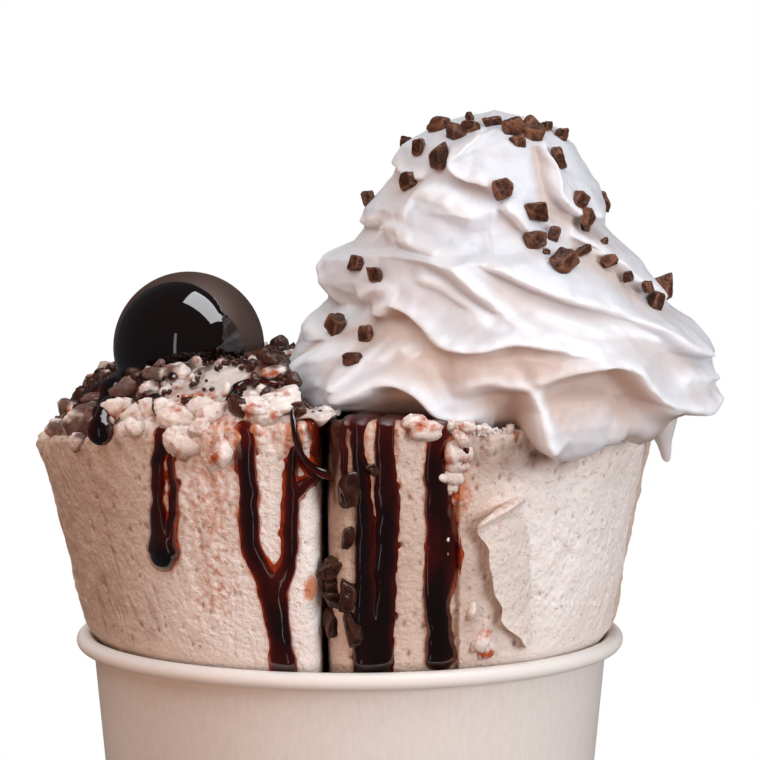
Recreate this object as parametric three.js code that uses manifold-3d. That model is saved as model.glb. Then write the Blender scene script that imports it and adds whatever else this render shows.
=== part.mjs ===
// Rolled ice cream in a paper cup: three upright rolls, a crumble heap with a chocolate ball on the
// left one and a whipped-cream swirl on the right one. Millimetres, +Z up. The cup's axis is the
// working origin; heights called "above the rim" count from the top of the cup.
import * as THREE from "three";
import { mergeVertices } from "three/addons/utils/BufferGeometryUtils.js";
import Module from "manifold-3d";

// The shortest edge that a joined solid keeps
const shortestEdge = 0.02;

// Cup
const cupHeight = 76;
const rimDiameter = 98;
const rimTube = 1.5;
const cupWall = 0.8;
const baseRadius = 39.1;
const wallTaper = Math.tan(THREE.MathUtils.degToRad(5.35));
const baseRecess = 5;
const cupTurns = 40;

// Rolls
const gap = 0.3;
const hub = [-4, 4];
const rollTop = 43;
const rollTopPeak = -2;
const rollSag = 0.0025;
const rollTurns = 36;
const flareStart = 1.3;
const flareLean = 0.2185;
const flareUneven = 0.0255;
const spiralTurns = 3.6;
const spiralDepth = 1.3;
const rolls = {
  left: { centre: [-27.1, -9.9], seams: [-90, 152], corner: 14, end: 120, layer: 2.0 },
  right: { centre: [19.1, -9.9], seams: [-90, 28], corner: 12, end: -91, layer: 1.3 },
  back: { centre: [-4, 29], seams: [28, 152], corner: 10, end: 60, layer: 2.0 },
};

// Toppings on the left roll
const ballRadius = 13.3;
const ballCentre = [-28.3, -8, 51.2];
const heapSection = { centre: [-26, -8], seams: [-90, 152], corner: 12, reach: 3 };
const heapRise = 8.2;
const heapRiseUneven = 0.6;
const heapShoulder = 15;
const nuggetCount = 44;
const nuggetSink = 0.5;

// The heap sinks under the cream's left lobe: from and to along X and towards the front, and the share
const heapDip = { right: [-15, -5], front: [10, 24], share: 0.9 };

// Whipped cream, heights above the rim and reaches along X from the cup's axis
const creamTop = 93;
const creamBack = -15;
const creamBase = 38;
const creamTurns = 56;
const creamReaches = [
  [34, -2, 57], [38, -3.6, 59.8], [42, -6, 61.4], [45.5, -8.3, 63.4], [49.5, -9.8, 62.4],
  [52.5, -9.8, 62], [57.5, -5.8, 58.6], [60.5, -3.6, 54.8], [64.5, -4.4, 52.4], [68.5, -3.4, 49.8],
  [70, 0.4, 48], [73, 2.4, 44.8], [76.4, 2.4, 44.9], [80, 5.8, 43.6], [84, 8.4, 41], [87, 9.2, 39.4],
  [90, 14, 36.6], [92, 19.6, 30.4], [creamTop, 25.2, 25.6],
];

// A bulge of the cream towards the seam of the front rolls: degrees, half width, share of the radius
const creamBulge = { degrees: -46, width: 26, share: 0.1, below: 60 };

// The cream's lower edge: degrees round from the front, height above the rim
const creamHem = [
  [-180, 45], [-140, 46], [-100, 47], [-70, 46.5], [-58, 43.4], [-48, 43.2], [-37, 43.8], [-27, 44],
  [-19, 41], [-7, 40.8], [2, 40.3], [7, 38.5], [12, 36.2], [20, 37.2], [27, 38.8], [38, 39.4],
  [46, 37], [54, 36], [62, 37], [72, 40], [90, 43.5], [115, 44.5], [145, 44], [180, 45],
];

// Folds of the cream: crest points in degrees round from the front and millimetres above the rim,
// then how far the lip stands out and how wide it is above and below the crest
const folds = [
  { crest: [[-58, 74], [-38, 71.6], [-13, 66.2], [-2, 61.1], [7, 56.2], [22, 53.6], [36, 52.3]], lip: [3.4, 8, 2.6] },
  { crest: [[-49, 60.1], [-34, 60.7], [-21, 56], [-8, 53.3], [3, 54.4], [22, 51.6], [32, 50.4]], lip: [3, 6.5, 2.6] },
  { crest: [[-6, 66.8], [7, 65.3], [18, 62], [35, 59.3], [52, 56.6], [64, 52], [82, 50.5]], lip: [3, 7, 2.6] },
  { crest: [[3, 46.6], [19, 49.1], [31, 50.4], [39, 45.3], [46, 42.7], [63, 42.4], [80, 45]], lip: [3.4, 7, 3.4] },
  { crest: [[-19, 42], [-9, 47.6], [4, 47.7], [7, 44], [9, 38.4]], lip: [3, 6, 4] },
  { crest: [[8, 47.1], [24, 43.7], [35, 38.8]], lip: [2, 6, 3] },
  { crest: [[-47, 44.7], [-29, 47.5], [-21, 45], [-17, 41.6], [-7, 42.1]], lip: [3, 6, 3] },
  { crest: [[-66, 48], [-58, 50.5], [-48, 52.5], [-41, 50], [-38, 46]], lip: [3, 7, 3] },
  { crest: [[-95, 68], [-77, 66], [-66, 62], [-55, 58]], lip: [2.2, 7, 3] },
  { crest: [[-105, 57], [-80, 55.4], [-64, 53]], lip: [2.2, 6, 3] },
  { crest: [[-10, 92], [-24, 86.7], [-25, 83.6], [-8, 80.7], [4, 78.4]], lip: [2.6, 7, 2.4] },
  { crest: [[-26, 78.5], [-15, 76.3], [-1, 75.5], [12, 76.8]], lip: [1.8, 5, 2.4] },
  { crest: [[-92, 76.6], [-61, 76], [-44, 78], [-26, 78.5]], lip: [1.8, 6, 2.6] },
  { crest: [[38, 86], [33, 79], [43, 75.6], [73, 74.5]], lip: [2.2, 8, 2.6] },
  { crest: [[36, 72.4], [49, 69.5], [62, 63.4], [78, 61]], lip: [2.2, 7, 2.6] },
];
const foldsBehind = [0, 1, 2, 3, 6, 10, 13, 14];
const behindTurn = 172;
const degreeLength = 0.55;
const foldFade = 0.14;
const lipDroop = 0.35;

// Chocolate pieces on the cream: degrees round from the front, height above the rim, length, width
const chunks = [
  [-82, 90, 4.7, 2.6], [-56, 92, 2.2, 2.2], [-29, 91, 4.9, 2], [-23, 89, 2.6, 2], [-54, 86, 2.2, 3],
  [-34, 84.6, 3.5, 4.3], [-52, 81, 3.3, 3.5], [-88, 77.5, 3, 2.8], [2, 91, 3.5, 2.6], [14, 89.7, 3.8, 3.5],
  [34, 89, 3.5, 3.5], [62, 89.6, 4.7, 2.4], [43, 85.4, 2.2, 3.8], [4, 80, 3.8, 3.7], [46, 78.6, 3.1, 3.1],
  [23, 76, 3.7, 3.8], [49, 75.5, 2, 3.1], [21, 71.4, 4.3, 3], [30, 72, 2.2, 2.8], [29, 68, 5.2, 4.3],
  [62, 71, 3.8, 2], [51, 67.5, 3.8, 2.3], [57, 65.2, 3, 2], [80, 62, 3.5, 3], [60, 59.5, 2.6, 3.1],
  [-51, 67, 2.3, 2.8], [-42, 65.5, 2.4, 2.4], [-57, 57.4, 3.7, 3.8], [-43, 55, 2.6, 3.1], [-39, 52.3, 3.5, 2.6],
];
const chunksBehind = 10;

// Sauce runs on the rolls: rows of x, height above the rim and half width, from top to bottom
const sauceThickness = 1.3;
const leftRuns = [
  [[-41.2, 38.8, 1.4], [-41.7, 37.8, 2.1], [-41.7, 36.4, 1.9], [-41.7, 35.2, 0.9]],
  [[-30.4, 39.8, 1.5], [-30.9, 33, 1.8], [-30.7, 25, 2.1], [-30.8, 20, 2.6], [-30.9, 16, 1.2]],
  [[-16.5, 41, 1.9], [-16.4, 22, 2.1], [-12.9, 15, 2.6], [-11.4, 8, 2.4], [-10.6, 2.6, 2.3]],
  [[-9.3, 41, 1.1], [-9.5, 31, 1.1], [-9.4, 22, 1.3], [-11.8, 16.4, 1.3]],
];
const rightRuns = [
  [[1.8, 41, 1.4], [2.9, 29, 1.3], [2.9, 12, 1.5], [4, 2.6, 2.2]],
  [[6.2, 41.4, 1.5], [6.6, 28, 1.8], [6.2, 15, 1.5], [5.1, 2.6, 1.7]],
  [[14.6, 39.5, 1.8], [14.9, 34, 1.9], [15.8, 23, 2.5], [15.2, 15, 2.6], [15.1, 10, 2], [15.6, 2.8, 2.3]],
];

// Chocolate pieces in the groove between the front rolls: x, height above the rim, half size
const groovePieces = [[0.5, 31, 2.4], [0.1, 23.4, 1.6], [-2.2, 18, 1.9], [0.3, 13.4, 2], [0.7, 8, 1.9]];

// Torn flake standing off the right roll: x, height above the rim and half width, top to bottom
const flakeRows = [[25.2, 27.5, 4.2], [25.4, 22, 4.1], [26.4, 16, 3.6], [28, 9, 2.6], [29, 4, 1.2]];
const flakeLift = 1.6;

const wasm = await Module();
wasm.setup();

const radians = THREE.MathUtils.degToRad;
const smooth = (edge0, edge1, value) => THREE.MathUtils.smoothstep(value, edge0, edge1);
const wrapTurn = (degrees) => THREE.MathUtils.euclideanModulo(degrees + 180, 360) - 180;

// A repeatable run of numbers from 0 to 1
function draws(seed) {
  let state = seed;
  return () => {
    state = (Math.imul(state, 1664525) + 1013904223) >>> 0;
    return state / 4294967296;
  };
}

// The value of one column of a table at a position in its first column
function lookUp(table, position, column) {
  if (position <= table[0][0]) return table[0][column];
  for (let i = 1; i < table.length; i += 1) {
    const [low, high] = [table[i - 1], table[i]];
    if (position <= high[0]) {
      const share = (position - low[0]) / (high[0] - low[0]);
      return THREE.MathUtils.lerp(low[column], high[column], share);
    }
  }
  return table[table.length - 1][column];
}

// A closed surface of revolution whose points are then placed by a rule: place(turn, row) gives the
// point at a turn of 0 to 1 round the axis and a row counted from the lower pole to the upper pole
function placedLathe(turns, rows, place) {
  const profile = [];
  for (let row = 0; row <= rows; row += 1) {
    const radius = row === 0 || row === rows ? 0 : 1;
    profile.push(new THREE.Vector2(radius, row));
  }
  const geometry = new THREE.LatheGeometry(profile, turns);
  const { position, uv } = geometry.attributes;
  for (let i = 0; i < position.count; i += 1) {
    const turn = Math.round(uv.getX(i) * turns) % turns / turns;
    const row = Math.round(uv.getY(i) * rows);
    const atPole = row === 0 || row === rows;
    position.setXYZ(i, ...place(atPole ? 0 : turn, row));
  }
  return geometry;
}

// Geometry to solid and back
function solidOf(geometry) {
  const bare = geometry.clone();
  bare.deleteAttribute("normal");
  bare.deleteAttribute("uv");
  const merged = mergeVertices(bare, 1e-4);
  const mesh = new wasm.Mesh({
    numProp: 3,
    vertProperties: new Float32Array(merged.attributes.position.array),
    triVerts: new Uint32Array(merged.index.array),
  });
  return new wasm.Manifold(mesh);
}

function geometryOf(solid) {
  const mesh = solid.simplify(shortestEdge).getMesh();
  const geometry = new THREE.BufferGeometry();
  geometry.setAttribute("position", new THREE.BufferAttribute(new Float32Array(mesh.vertProperties), 3));
  geometry.setIndex(new THREE.BufferAttribute(new Uint32Array(mesh.triVerts), 1));
  geometry.computeVertexNormals();
  return geometry;
}

// The largest body of a solid, without loose scraps
function wholeOf(solid) {
  const bodies = solid.decompose();
  return bodies.reduce((best, body) => (body.volume() > best.volume() ? body : best));
}

// Paper cup: a tapered wall with a rolled rim and a recessed base, one closed profile
function cupGeometry() {
  const rimCentre = new THREE.Vector2(rimDiameter / 2 - rimTube, cupHeight - rimTube);
  const wallAt = (height) => baseRadius + wallTaper * height;
  const outline = [
    new THREE.Vector2(0, baseRecess),
    new THREE.Vector2(baseRadius - cupWall * 1.6, baseRecess),
    new THREE.Vector2(baseRadius - cupWall * 1.6, 0),
    new THREE.Vector2(baseRadius, 0),
    new THREE.Vector2(wallAt(cupHeight - 3), cupHeight - 3),
  ];
  for (let degrees = -140; degrees <= 150; degrees += 290 / 7) {
    const angle = radians(degrees);
    outline.push(new THREE.Vector2(
      rimCentre.x + rimTube * Math.cos(angle),
      rimCentre.y + rimTube * Math.sin(angle),
    ));
  }
  outline.push(
    new THREE.Vector2(wallAt(cupHeight - 1.5) - cupWall, cupHeight - 1.5),
    new THREE.Vector2(wallAt(baseRecess) - cupWall, baseRecess + cupWall),
    new THREE.Vector2(0, baseRecess + cupWall),
  );
  const geometry = new THREE.LatheGeometry(outline, cupTurns);
  geometry.rotateX(Math.PI / 2);
  return geometry;
}

// Radius about the cup's axis that the ice cream fills: inside the wall, over the rim, then flaring
function iceRadius(height, angle) {
  const inside = cupHeight - 1.6;
  const insideRadius = baseRadius - cupWall - gap - 0.1;
  if (height <= inside) return insideRadius + wallTaper * height;
  const overRim = [
    [inside, insideRadius + wallTaper * inside],
    [cupHeight - 0.8, 45.5],
    [cupHeight + 0.3, 46.2],
    [cupHeight + flareStart, 47.1],
  ];
  const lean = flareLean - flareUneven * Math.cos(angle);
  return lookUp(overRim, height, 1) + lean * Math.max(height - cupHeight - flareStart, 0);
}

// Height of the rolls' tops, a little lower towards the cup's sides
const topHeight = (x) => cupHeight + rollTop - rollSag * (x - rollTopPeak) ** 2;

// Radius of a roll's rounded sector about its own centre: a smooth least of the distances to the
// outer circle and to the seams with the other rolls, less the step where the rolled sheet ends
function sectionRadius(section, angle, height, grow = 0) {
  const [cx, cy] = section.centre;
  const along = cx * Math.cos(angle) + cy * Math.sin(angle);
  const circle = iceRadius(height, angle) + grow;
  const reaches = [-along + Math.sqrt(along ** 2 - cx ** 2 - cy ** 2 + circle ** 2)];
  for (const seam of section.seams) {
    let normal = [-Math.sin(radians(seam)), Math.cos(radians(seam))];
    let away = (hub[0] - cx) * normal[0] + (hub[1] - cy) * normal[1];
    if (away < 0) {
      normal = normal.map((value) => -value);
      away = -away;
    }
    const facing = Math.cos(angle) * normal[0] + Math.sin(angle) * normal[1];
    if (facing > 0.001) reaches.push((away - gap / 2 + grow + (section.reach ?? 0)) / facing);
  }
  const sum = reaches.reduce((total, reach) => total + reach ** -section.corner, 0);
  const radius = sum ** (-1 / section.corner);
  return radius - (section.layer ?? 0) * Math.exp(-turnedFrom(section, angle) / 60);
}

// Degrees turned clockwise from the sheet's outer end
function turnedFrom(section, angle) {
  return THREE.MathUtils.euclideanModulo((section.end ?? 0) - THREE.MathUtils.radToDeg(angle), 360);
}

// Turns round a roll, even but for a narrow pair that makes the sheet's end a clean step
function rollAngle(section, turn) {
  const index = Math.round(turn * rollTurns);
  const spare = 0.004;
  const even = (index - 1) / (rollTurns - 1);
  const share = index === 0 ? -spare : even * (1 - 2 * spare) + spare;
  return radians(section.end) + share * 2 * Math.PI;
}

// One roll: a closed wall from the cup's floor up to a top with a coiled groove
function rollGeometry(section, capRings, grow = 0) {
  const floor = baseRecess + cupWall + gap;
  const walls = [
    { height: floor, inset: 1.5 },
    { height: floor + 2, inset: 0 },
    { height: cupHeight - 1.6, inset: 0 },
    { height: cupHeight - 0.8, inset: 0 },
    { height: cupHeight + 0.3, inset: 0 },
    { height: cupHeight + flareStart, inset: 0 },
  ];
  const flareRows = [0.2, 0.4, 0.6, 0.78, 0.91];
  const edge = [
    { below: 1, inset: 0.25 },
    { below: 0.25, inset: 1.2 },
    { below: 0, inset: 2.6 },
  ];
  const wallCount = walls.length;
  const flareCount = wallCount + flareRows.length;
  const edgeCount = flareCount + edge.length;
  const rows = edgeCount + capRings + 1;
  const [cx, cy] = section.centre;
  const place = (turn, row) => {
    if (row === 0) return [cx, cy, floor - grow];
    if (row === rows) return [cx, cy, topHeight(cx) + grow];
    const angle = rollAngle(section, turn);
    const rimOfTop = sectionRadius(section, angle, cupHeight + 36, grow);
    const top = topHeight(cx + rimOfTop * Math.cos(angle)) + grow;
    let height;
    let radius;
    if (row <= wallCount) {
      const { height: level, inset } = walls[row - 1];
      height = level;
      radius = sectionRadius(section, angle, height, grow) - inset;
    } else if (row <= flareCount) {
      const start = cupHeight + flareStart;
      height = THREE.MathUtils.lerp(start, top, flareRows[row - wallCount - 1]);
      radius = sectionRadius(section, angle, height, grow);
    } else if (row <= edgeCount) {
      const { below, inset } = edge[row - flareCount - 1];
      height = top - below;
      radius = sectionRadius(section, angle, height, grow) - inset;
    } else {
      const share = 1 - (row - edgeCount) / (capRings + 1);
      radius = (sectionRadius(section, angle, top, grow) - 2.6) * share;
      const x = cx + radius * Math.cos(angle);
      const phase = THREE.MathUtils.euclideanModulo(share * spiralTurns + turnedFrom(section, angle) / 360, 1);
      const groove = spiralDepth * Math.max(0, 1 - Math.abs(phase - 0.5) / 0.28);
      height = topHeight(x) + grow - (grow > 0 ? 0 : groove);
    }
    return [cx + radius * Math.cos(angle), cy + radius * Math.sin(angle), height];
  };
  return placedLathe(rollTurns, rows, place);
}

// The point of a roll's front at an x and a height, lifted off its face; the angle is found by halving
function frontPoint(section, x, height, lift) {
  let low = -Math.PI;
  let high = 0;
  for (let step = 0; step < 30; step += 1) {
    const middle = (low + high) / 2;
    const reach = section.centre[0] + sectionRadius(section, middle, height) * Math.cos(middle);
    if (reach < x) low = middle;
    else high = middle;
  }
  const angle = (low + high) / 2;
  const radius = sectionRadius(section, angle, height) + lift;
  return [section.centre[0] + radius * Math.cos(angle), section.centre[1] + radius * Math.sin(angle), height];
}

// A run of sauce: a flattened strand that follows the roll's front along rows of x, height and width
function runGeometry(section, rows, thickness) {
  const steps = 9;
  const sides = 8;
  const at = (share) => {
    const place = share * (rows.length - 1);
    const i = Math.min(Math.floor(place), rows.length - 2);
    return rows[i].map((value, k) => THREE.MathUtils.lerp(value, rows[i + 1][k], place - i));
  };
  return placedLathe(sides, steps, (turn, row) => {
    const share = 1 - row / steps;
    const [x, above, half] = at(share);
    if (row === 0 || row === steps) {
      const reach = row === 0 ? -half * 0.6 : half * 0.3;
      return frontPoint(section, x, cupHeight + above + reach, 0.1);
    }
    const angle = -turn * 2 * Math.PI;
    const lift = thickness * Math.sin(angle) - 0.15;
    return frontPoint(section, x + half * Math.cos(angle), cupHeight + above, lift);
  });
}

// The flake: a thin plate held to the roll along its right side, its left side standing off
function flakeGeometry(section) {
  const steps = 6;
  const sides = 10;
  const table = flakeRows.map(([x, above, half], i) => [i, x, above, half]);
  return placedLathe(sides, steps, (turn, row) => {
    const place = (flakeRows.length - 1) * (1 - row / steps);
    const [x, above, half] = [1, 2, 3].map((column) => lookUp(table, place, column));
    const angle = -turn * 2 * Math.PI;
    const across = row === 0 || row === steps ? 0 : Math.cos(angle);
    const thick = row === 0 || row === steps ? 0 : 0.7 * Math.sin(angle);
    const stand = flakeLift * (0.4 - 0.6 * across) + thick;
    return frontPoint(section, x + half * across, cupHeight + above, stand);
  });
}

// A small broken piece: an icosahedron or a block with seeded uneven corners
function pieceGeometry([length, width, depth], draw, blocky) {
  const geometry = blocky
    ? new THREE.BoxGeometry(length, width, depth)
    : new THREE.IcosahedronGeometry(1, 0).scale(length / 2, width / 2, depth / 2);
  geometry.deleteAttribute("normal");
  geometry.deleteAttribute("uv");
  const shared = mergeVertices(geometry, 1e-4);
  const { position } = shared.attributes;
  for (let i = 0; i < position.count; i += 1) {
    const uneven = 0.84 + 0.3 * draw();
    position.setXYZ(i, position.getX(i) * uneven, position.getY(i) * uneven, position.getZ(i) * uneven);
  }
  shared.rotateX(draw() * 0.6);
  shared.rotateZ(draw() * Math.PI);
  return shared;
}

// Height of the heap above its lowest rise: a steep shoulder at its edge, then broad lumps
function heapRiseAt(angle, share, edge) {
  const inward = Math.min((1 - share) * edge / heapShoulder, 1);
  const rise = heapRise + heapRiseUneven * Math.cos(angle);
  const lumps = 0.5 * Math.sin(5 * angle + 9 * share) + 0.4 * Math.sin(11 * angle - 14 * share);
  return rise * (1 - (1 - inward) ** 2) + lumps * Math.min(inward * 3, 1);
}

function heapPoint(angle, share) {
  const [cx, cy] = heapSection.centre;
  const edge = sectionRadius(heapSection, angle, cupHeight + 38) - 0.5;
  const x = cx + edge * share * Math.cos(angle);
  const y = cy + edge * share * Math.sin(angle);
  const dip = heapDip.share * smooth(...heapDip.right, x) * smooth(...heapDip.front, -y);
  return [x, y, topHeight(x) + gap + 0.85 + heapRiseAt(angle, share, edge) * (1 - dip)];
}

// The heap: an underside that follows the rolls' tops, then the mound
function heapGeometry() {
  const under = [0.35, 0.7, 0.97];
  const shares = [...under, 1, 0.96, 0.88, 0.77, 0.63, 0.46, 0.25];
  const rows = shares.length + 1;
  return placedLathe(28, rows, (turn, row) => {
    const angle = turn * 2 * Math.PI;
    const share = shares[row - 1] ?? 0;
    const point = heapPoint(angle, share);
    if (row <= under.length) point[2] = topHeight(point[0]) + gap + 0.1;
    return point;
  });
}

// The cream's middle and radius at a height above the rim
function creamRing(above, degrees) {
  const left = lookUp(creamReaches, above, 1);
  const right = lookUp(creamReaches, above, 2);
  const { share, width, below } = creamBulge;
  const across = Math.exp(-(((degrees - creamBulge.degrees) / width) ** 2));
  const bulge = 1 + share * across * smooth(0, 12, below - above);
  return { x: (left + right) / 2, radius: (right - left) / 2 * bulge };
}

// All folds, those in front and their fellows turned to the back
const allFolds = [
  ...folds,
  ...foldsBehind.map((index) => ({
    crest: folds[index].crest.map(([degrees, above]) => [degrees + behindTurn, above]),
    lip: folds[index].lip,
  })),
];

// How far the folds stand out at a place on the cream. A fold is strongest on its crest, slopes off
// over its width above and drops steeply below, and fades towards its two ends.
function foldLift(degrees, above) {
  let lift = 0;
  for (const { crest, lip } of allFolds) {
    const [height, widthAbove, widthBelow] = lip;
    const middle = crest[Math.floor(crest.length / 2)][0];
    const at = [(middle + wrapTurn(degrees - middle)) * degreeLength, above];
    let nearest = { distance: Infinity, side: 1, share: 0 };
    for (let i = 1; i < crest.length; i += 1) {
      const start = [crest[i - 1][0] * degreeLength, crest[i - 1][1]];
      const along = [crest[i][0] * degreeLength - start[0], crest[i][1] - start[1]];
      const from = [at[0] - start[0], at[1] - start[1]];
      const length = along[0] ** 2 + along[1] ** 2;
      const share = THREE.MathUtils.clamp((from[0] * along[0] + from[1] * along[1]) / length, 0, 1);
      const distance = Math.hypot(from[0] - share * along[0], from[1] - share * along[1]);
      if (distance < nearest.distance) {
        const side = Math.sign(along[0] * from[1] - along[1] * from[0]);
        nearest = { distance, side, share: (i - 1 + share) / (crest.length - 1) };
      }
    }
    const width = nearest.side >= 0 ? widthAbove : widthBelow;
    const fall = Math.max(0, 1 - nearest.distance / width);
    const ends = smooth(0, foldFade, nearest.share) * smooth(0, foldFade, 1 - nearest.share);
    const shape = nearest.side >= 0 ? fall * fall * (3 - 2 * fall) : fall * fall;
    lift = Math.max(lift, height * shape * (0.25 + 0.75 * ends));
  }
  return lift;
}

// A point of the cream's side, with degrees counted from the front towards the right
function creamPoint(degrees, above, grow = 0) {
  const ring = creamRing(above, degrees);
  const lift = foldLift(degrees, above) * smooth(0, 9, ring.radius);
  const radius = ring.radius - 0.5 + lift + grow;
  const angle = radians(degrees);
  return [
    ring.x + radius * Math.sin(angle),
    creamBack - radius * Math.cos(angle),
    cupHeight + above - lipDroop * lift,
  ];
}

// The whipped cream: a flat underside that turns up to a wavy lower edge, then the folded side
function creamGeometry(grow = 0) {
  const under = [0.45, 0.8, 0.96];
  const sideRows = 23;
  const rows = under.length + sideRows + 2;
  return placedLathe(creamTurns, rows, (turn, row) => {
    const degrees = wrapTurn(turn * 360 - 90);
    if (row === 0) return [creamRing(creamBase, 0).x, creamBack, cupHeight + creamBase - grow];
    if (row === rows) return [creamRing(creamTop, 0).x, creamBack, cupHeight + creamTop + grow];
    const hem = lookUp(creamHem, degrees, 1);
    if (row <= under.length) {
      const share = under[row - 1];
      const edge = creamPoint(degrees, hem + 0.6, grow);
      const middle = creamRing(hem, degrees).x;
      return [
        middle + (edge[0] - middle) * share,
        creamBack + (edge[1] - creamBack) * share,
        cupHeight + THREE.MathUtils.lerp(creamBase, hem, smooth(0.6, 1, share)) - grow,
      ];
    }
    const share = (row - under.length - 1) / sideRows;
    const rise = 0.72 * share + 0.28 * Math.sin(share * Math.PI / 2);
    return creamPoint(degrees, THREE.MathUtils.lerp(hem + 0.8, creamTop - 0.25, rise), grow);
  });
}

// A chocolate piece half sunk in the cream
function creamChunk([degrees, above, length, width], draw) {
  const size = [0.88 * length, 0.88 * width, 0.8 * Math.min(length, width)];
  const piece = pieceGeometry(size, draw, draw() < 0.6);
  const [x, y, z] = creamPoint(degrees, above, 0.3);
  return piece.translate(x, y, z);
}

// Solids
const cupSolid = solidOf(cupGeometry());
const rollSolids = {
  left: solidOf(rollGeometry(rolls.left, 2)),
  right: solidOf(rollGeometry(rolls.right, 2)),
  back: solidOf(rollGeometry(rolls.back, 13)),
};
const grownRolls = {
  left: solidOf(rollGeometry(rolls.left, 2, gap)),
  right: solidOf(rollGeometry(rolls.right, 2, gap)),
  back: solidOf(rollGeometry(rolls.back, 2, gap)),
};
const grownBall = solidOf(new THREE.IcosahedronGeometry(ballRadius + gap + 0.1, 4)
  .translate(ballCentre[0], ballCentre[1], cupHeight + ballCentre[2]));
const grownCream = solidOf(creamGeometry(0.6));

const leftSauce = leftRuns.map((rows) => solidOf(runGeometry(rolls.left, rows, sauceThickness)));
const leftRoll = wholeOf(wasm.Manifold.union([rollSolids.left, ...leftSauce]).subtract(grownBall));

const grooveDraw = draws(7);
const grooveSolids = groovePieces.map(([x, above, half]) => {
  const piece = pieceGeometry([half * 1.7, half * 1.7, half * 2.4], grooveDraw, false);
  const [px, py, pz] = frontPoint(rolls.right, x, cupHeight + above, 0.2);
  return solidOf(piece.translate(px, py, pz)).subtract(grownRolls.left);
});
const rightSauce = rightRuns.map((rows) => solidOf(runGeometry(rolls.right, rows, sauceThickness)));
const flake = solidOf(flakeGeometry(rolls.right));
const rightRoll = wholeOf(wasm.Manifold.union([rollSolids.right, ...rightSauce, ...grooveSolids, flake]));

let heapSolid = solidOf(heapGeometry()).subtract(grownBall).subtract(grownCream);
heapSolid = wholeOf(heapSolid);
const nuggetDraw = draws(21);
const nuggets = [];
for (let i = 0; i < nuggetCount; i += 1) {
  const share = Math.sqrt((i + 0.5) / nuggetCount) * 0.93;
  const angle = i * Math.PI * (3 - Math.sqrt(5));
  const size = 2.7 + 1.5 * nuggetDraw();
  const [x, y, z] = heapPoint(angle, share);
  const fromBall = Math.hypot(x - ballCentre[0], y - ballCentre[1], z - cupHeight - ballCentre[2]);
  if (fromBall > ballRadius + 0.7 * size) {
    const piece = pieceGeometry([size, size * 0.85, size * 0.8], nuggetDraw, false);
    nuggets.push(solidOf(piece.translate(x, y, z - nuggetSink)));
  }
}
const nuggetSolid = wasm.Manifold.union(nuggets).subtract(grownCream)
  .subtract(grownRolls.left).subtract(grownRolls.right).subtract(grownRolls.back);
heapSolid = wholeOf(heapSolid.add(nuggetSolid));

const chunkDraw = draws(35);
const chunkPlaces = [...chunks];
for (let i = 0; i < chunksBehind; i += 1) {
  const turned = 105 + 150 * ((i * 0.618) % 1);
  chunkPlaces.push([wrapTurn(turned), 60 + 31 * Math.sqrt(chunkDraw()), 2.4 + 2 * chunkDraw(), 2.2 + chunkDraw()]);
}
const chunkSolids = chunkPlaces.map((place) => solidOf(creamChunk(place, chunkDraw)));
const creamCore = wholeOf(solidOf(creamGeometry())
  .subtract(grownRolls.left).subtract(grownRolls.right).subtract(grownRolls.back));
const creamSolid = wholeOf(wasm.Manifold.union([creamCore, ...chunkSolids]));

const ballGeometry = new THREE.SphereGeometry(ballRadius, 24, 13).rotateX(Math.PI / 2);

// Pieces and their colours
const finish = (color, roughness) => new THREE.MeshStandardMaterial({ color, roughness, metalness: 0 });
const ice = finish("#cbb5a6", 0.6);
const pieces = [
  ["paper_cup", geometryOf(cupSolid), finish("#e4ded9", 0.5)],
  ["roll_left", geometryOf(leftRoll), ice],
  ["roll_right", geometryOf(rightRoll), ice],
  ["roll_back", geometryOf(rollSolids.back), ice],
  ["crumble_heap", geometryOf(heapSolid), finish("#5a3a2c", 0.5)],
  ["whipped_cream", geometryOf(creamSolid), finish("#f3eeea", 0.4)],
  ["chocolate_ball", ballGeometry, finish("#2a1410", 0.3)],
];

const group = new THREE.Group();
for (const [name, geometry, material] of pieces) {
  const mesh = new THREE.Mesh(geometry, material);
  mesh.name = name;
  if (name === "chocolate_ball") mesh.position.set(ballCentre[0], ballCentre[1], cupHeight + ballCentre[2]);
  group.add(mesh);
}

// The origin goes to the bottom centre of the whole's box
const footprint = new THREE.Box3().setFromObject(group, true);
const centre = footprint.getCenter(new THREE.Vector3());
group.position.set(-centre.x, -centre.y, -footprint.min.z);

export default group;
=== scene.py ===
# Rolled ice cream in a paper cup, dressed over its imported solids. Shapes are worked out in millimetres
# from the cup's axis at table height, +Z up, and go into the meshes in metres in the frame's place.
import itertools
import math

import bpy
import numpy as np
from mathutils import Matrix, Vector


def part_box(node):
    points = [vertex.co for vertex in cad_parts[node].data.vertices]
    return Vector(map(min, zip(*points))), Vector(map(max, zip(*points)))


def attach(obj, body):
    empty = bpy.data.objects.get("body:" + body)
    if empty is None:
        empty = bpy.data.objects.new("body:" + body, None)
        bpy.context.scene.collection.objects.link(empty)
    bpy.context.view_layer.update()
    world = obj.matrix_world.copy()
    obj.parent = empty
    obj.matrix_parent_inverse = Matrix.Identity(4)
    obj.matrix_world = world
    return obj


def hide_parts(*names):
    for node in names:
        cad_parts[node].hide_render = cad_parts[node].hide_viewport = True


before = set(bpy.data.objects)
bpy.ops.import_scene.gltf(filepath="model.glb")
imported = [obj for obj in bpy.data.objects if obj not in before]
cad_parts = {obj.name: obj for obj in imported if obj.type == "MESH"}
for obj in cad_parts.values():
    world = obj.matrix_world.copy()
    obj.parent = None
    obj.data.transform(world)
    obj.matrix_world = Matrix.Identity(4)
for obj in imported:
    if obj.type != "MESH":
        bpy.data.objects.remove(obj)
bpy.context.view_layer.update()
print("frame loaded:", ", ".join(sorted(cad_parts)))

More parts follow.
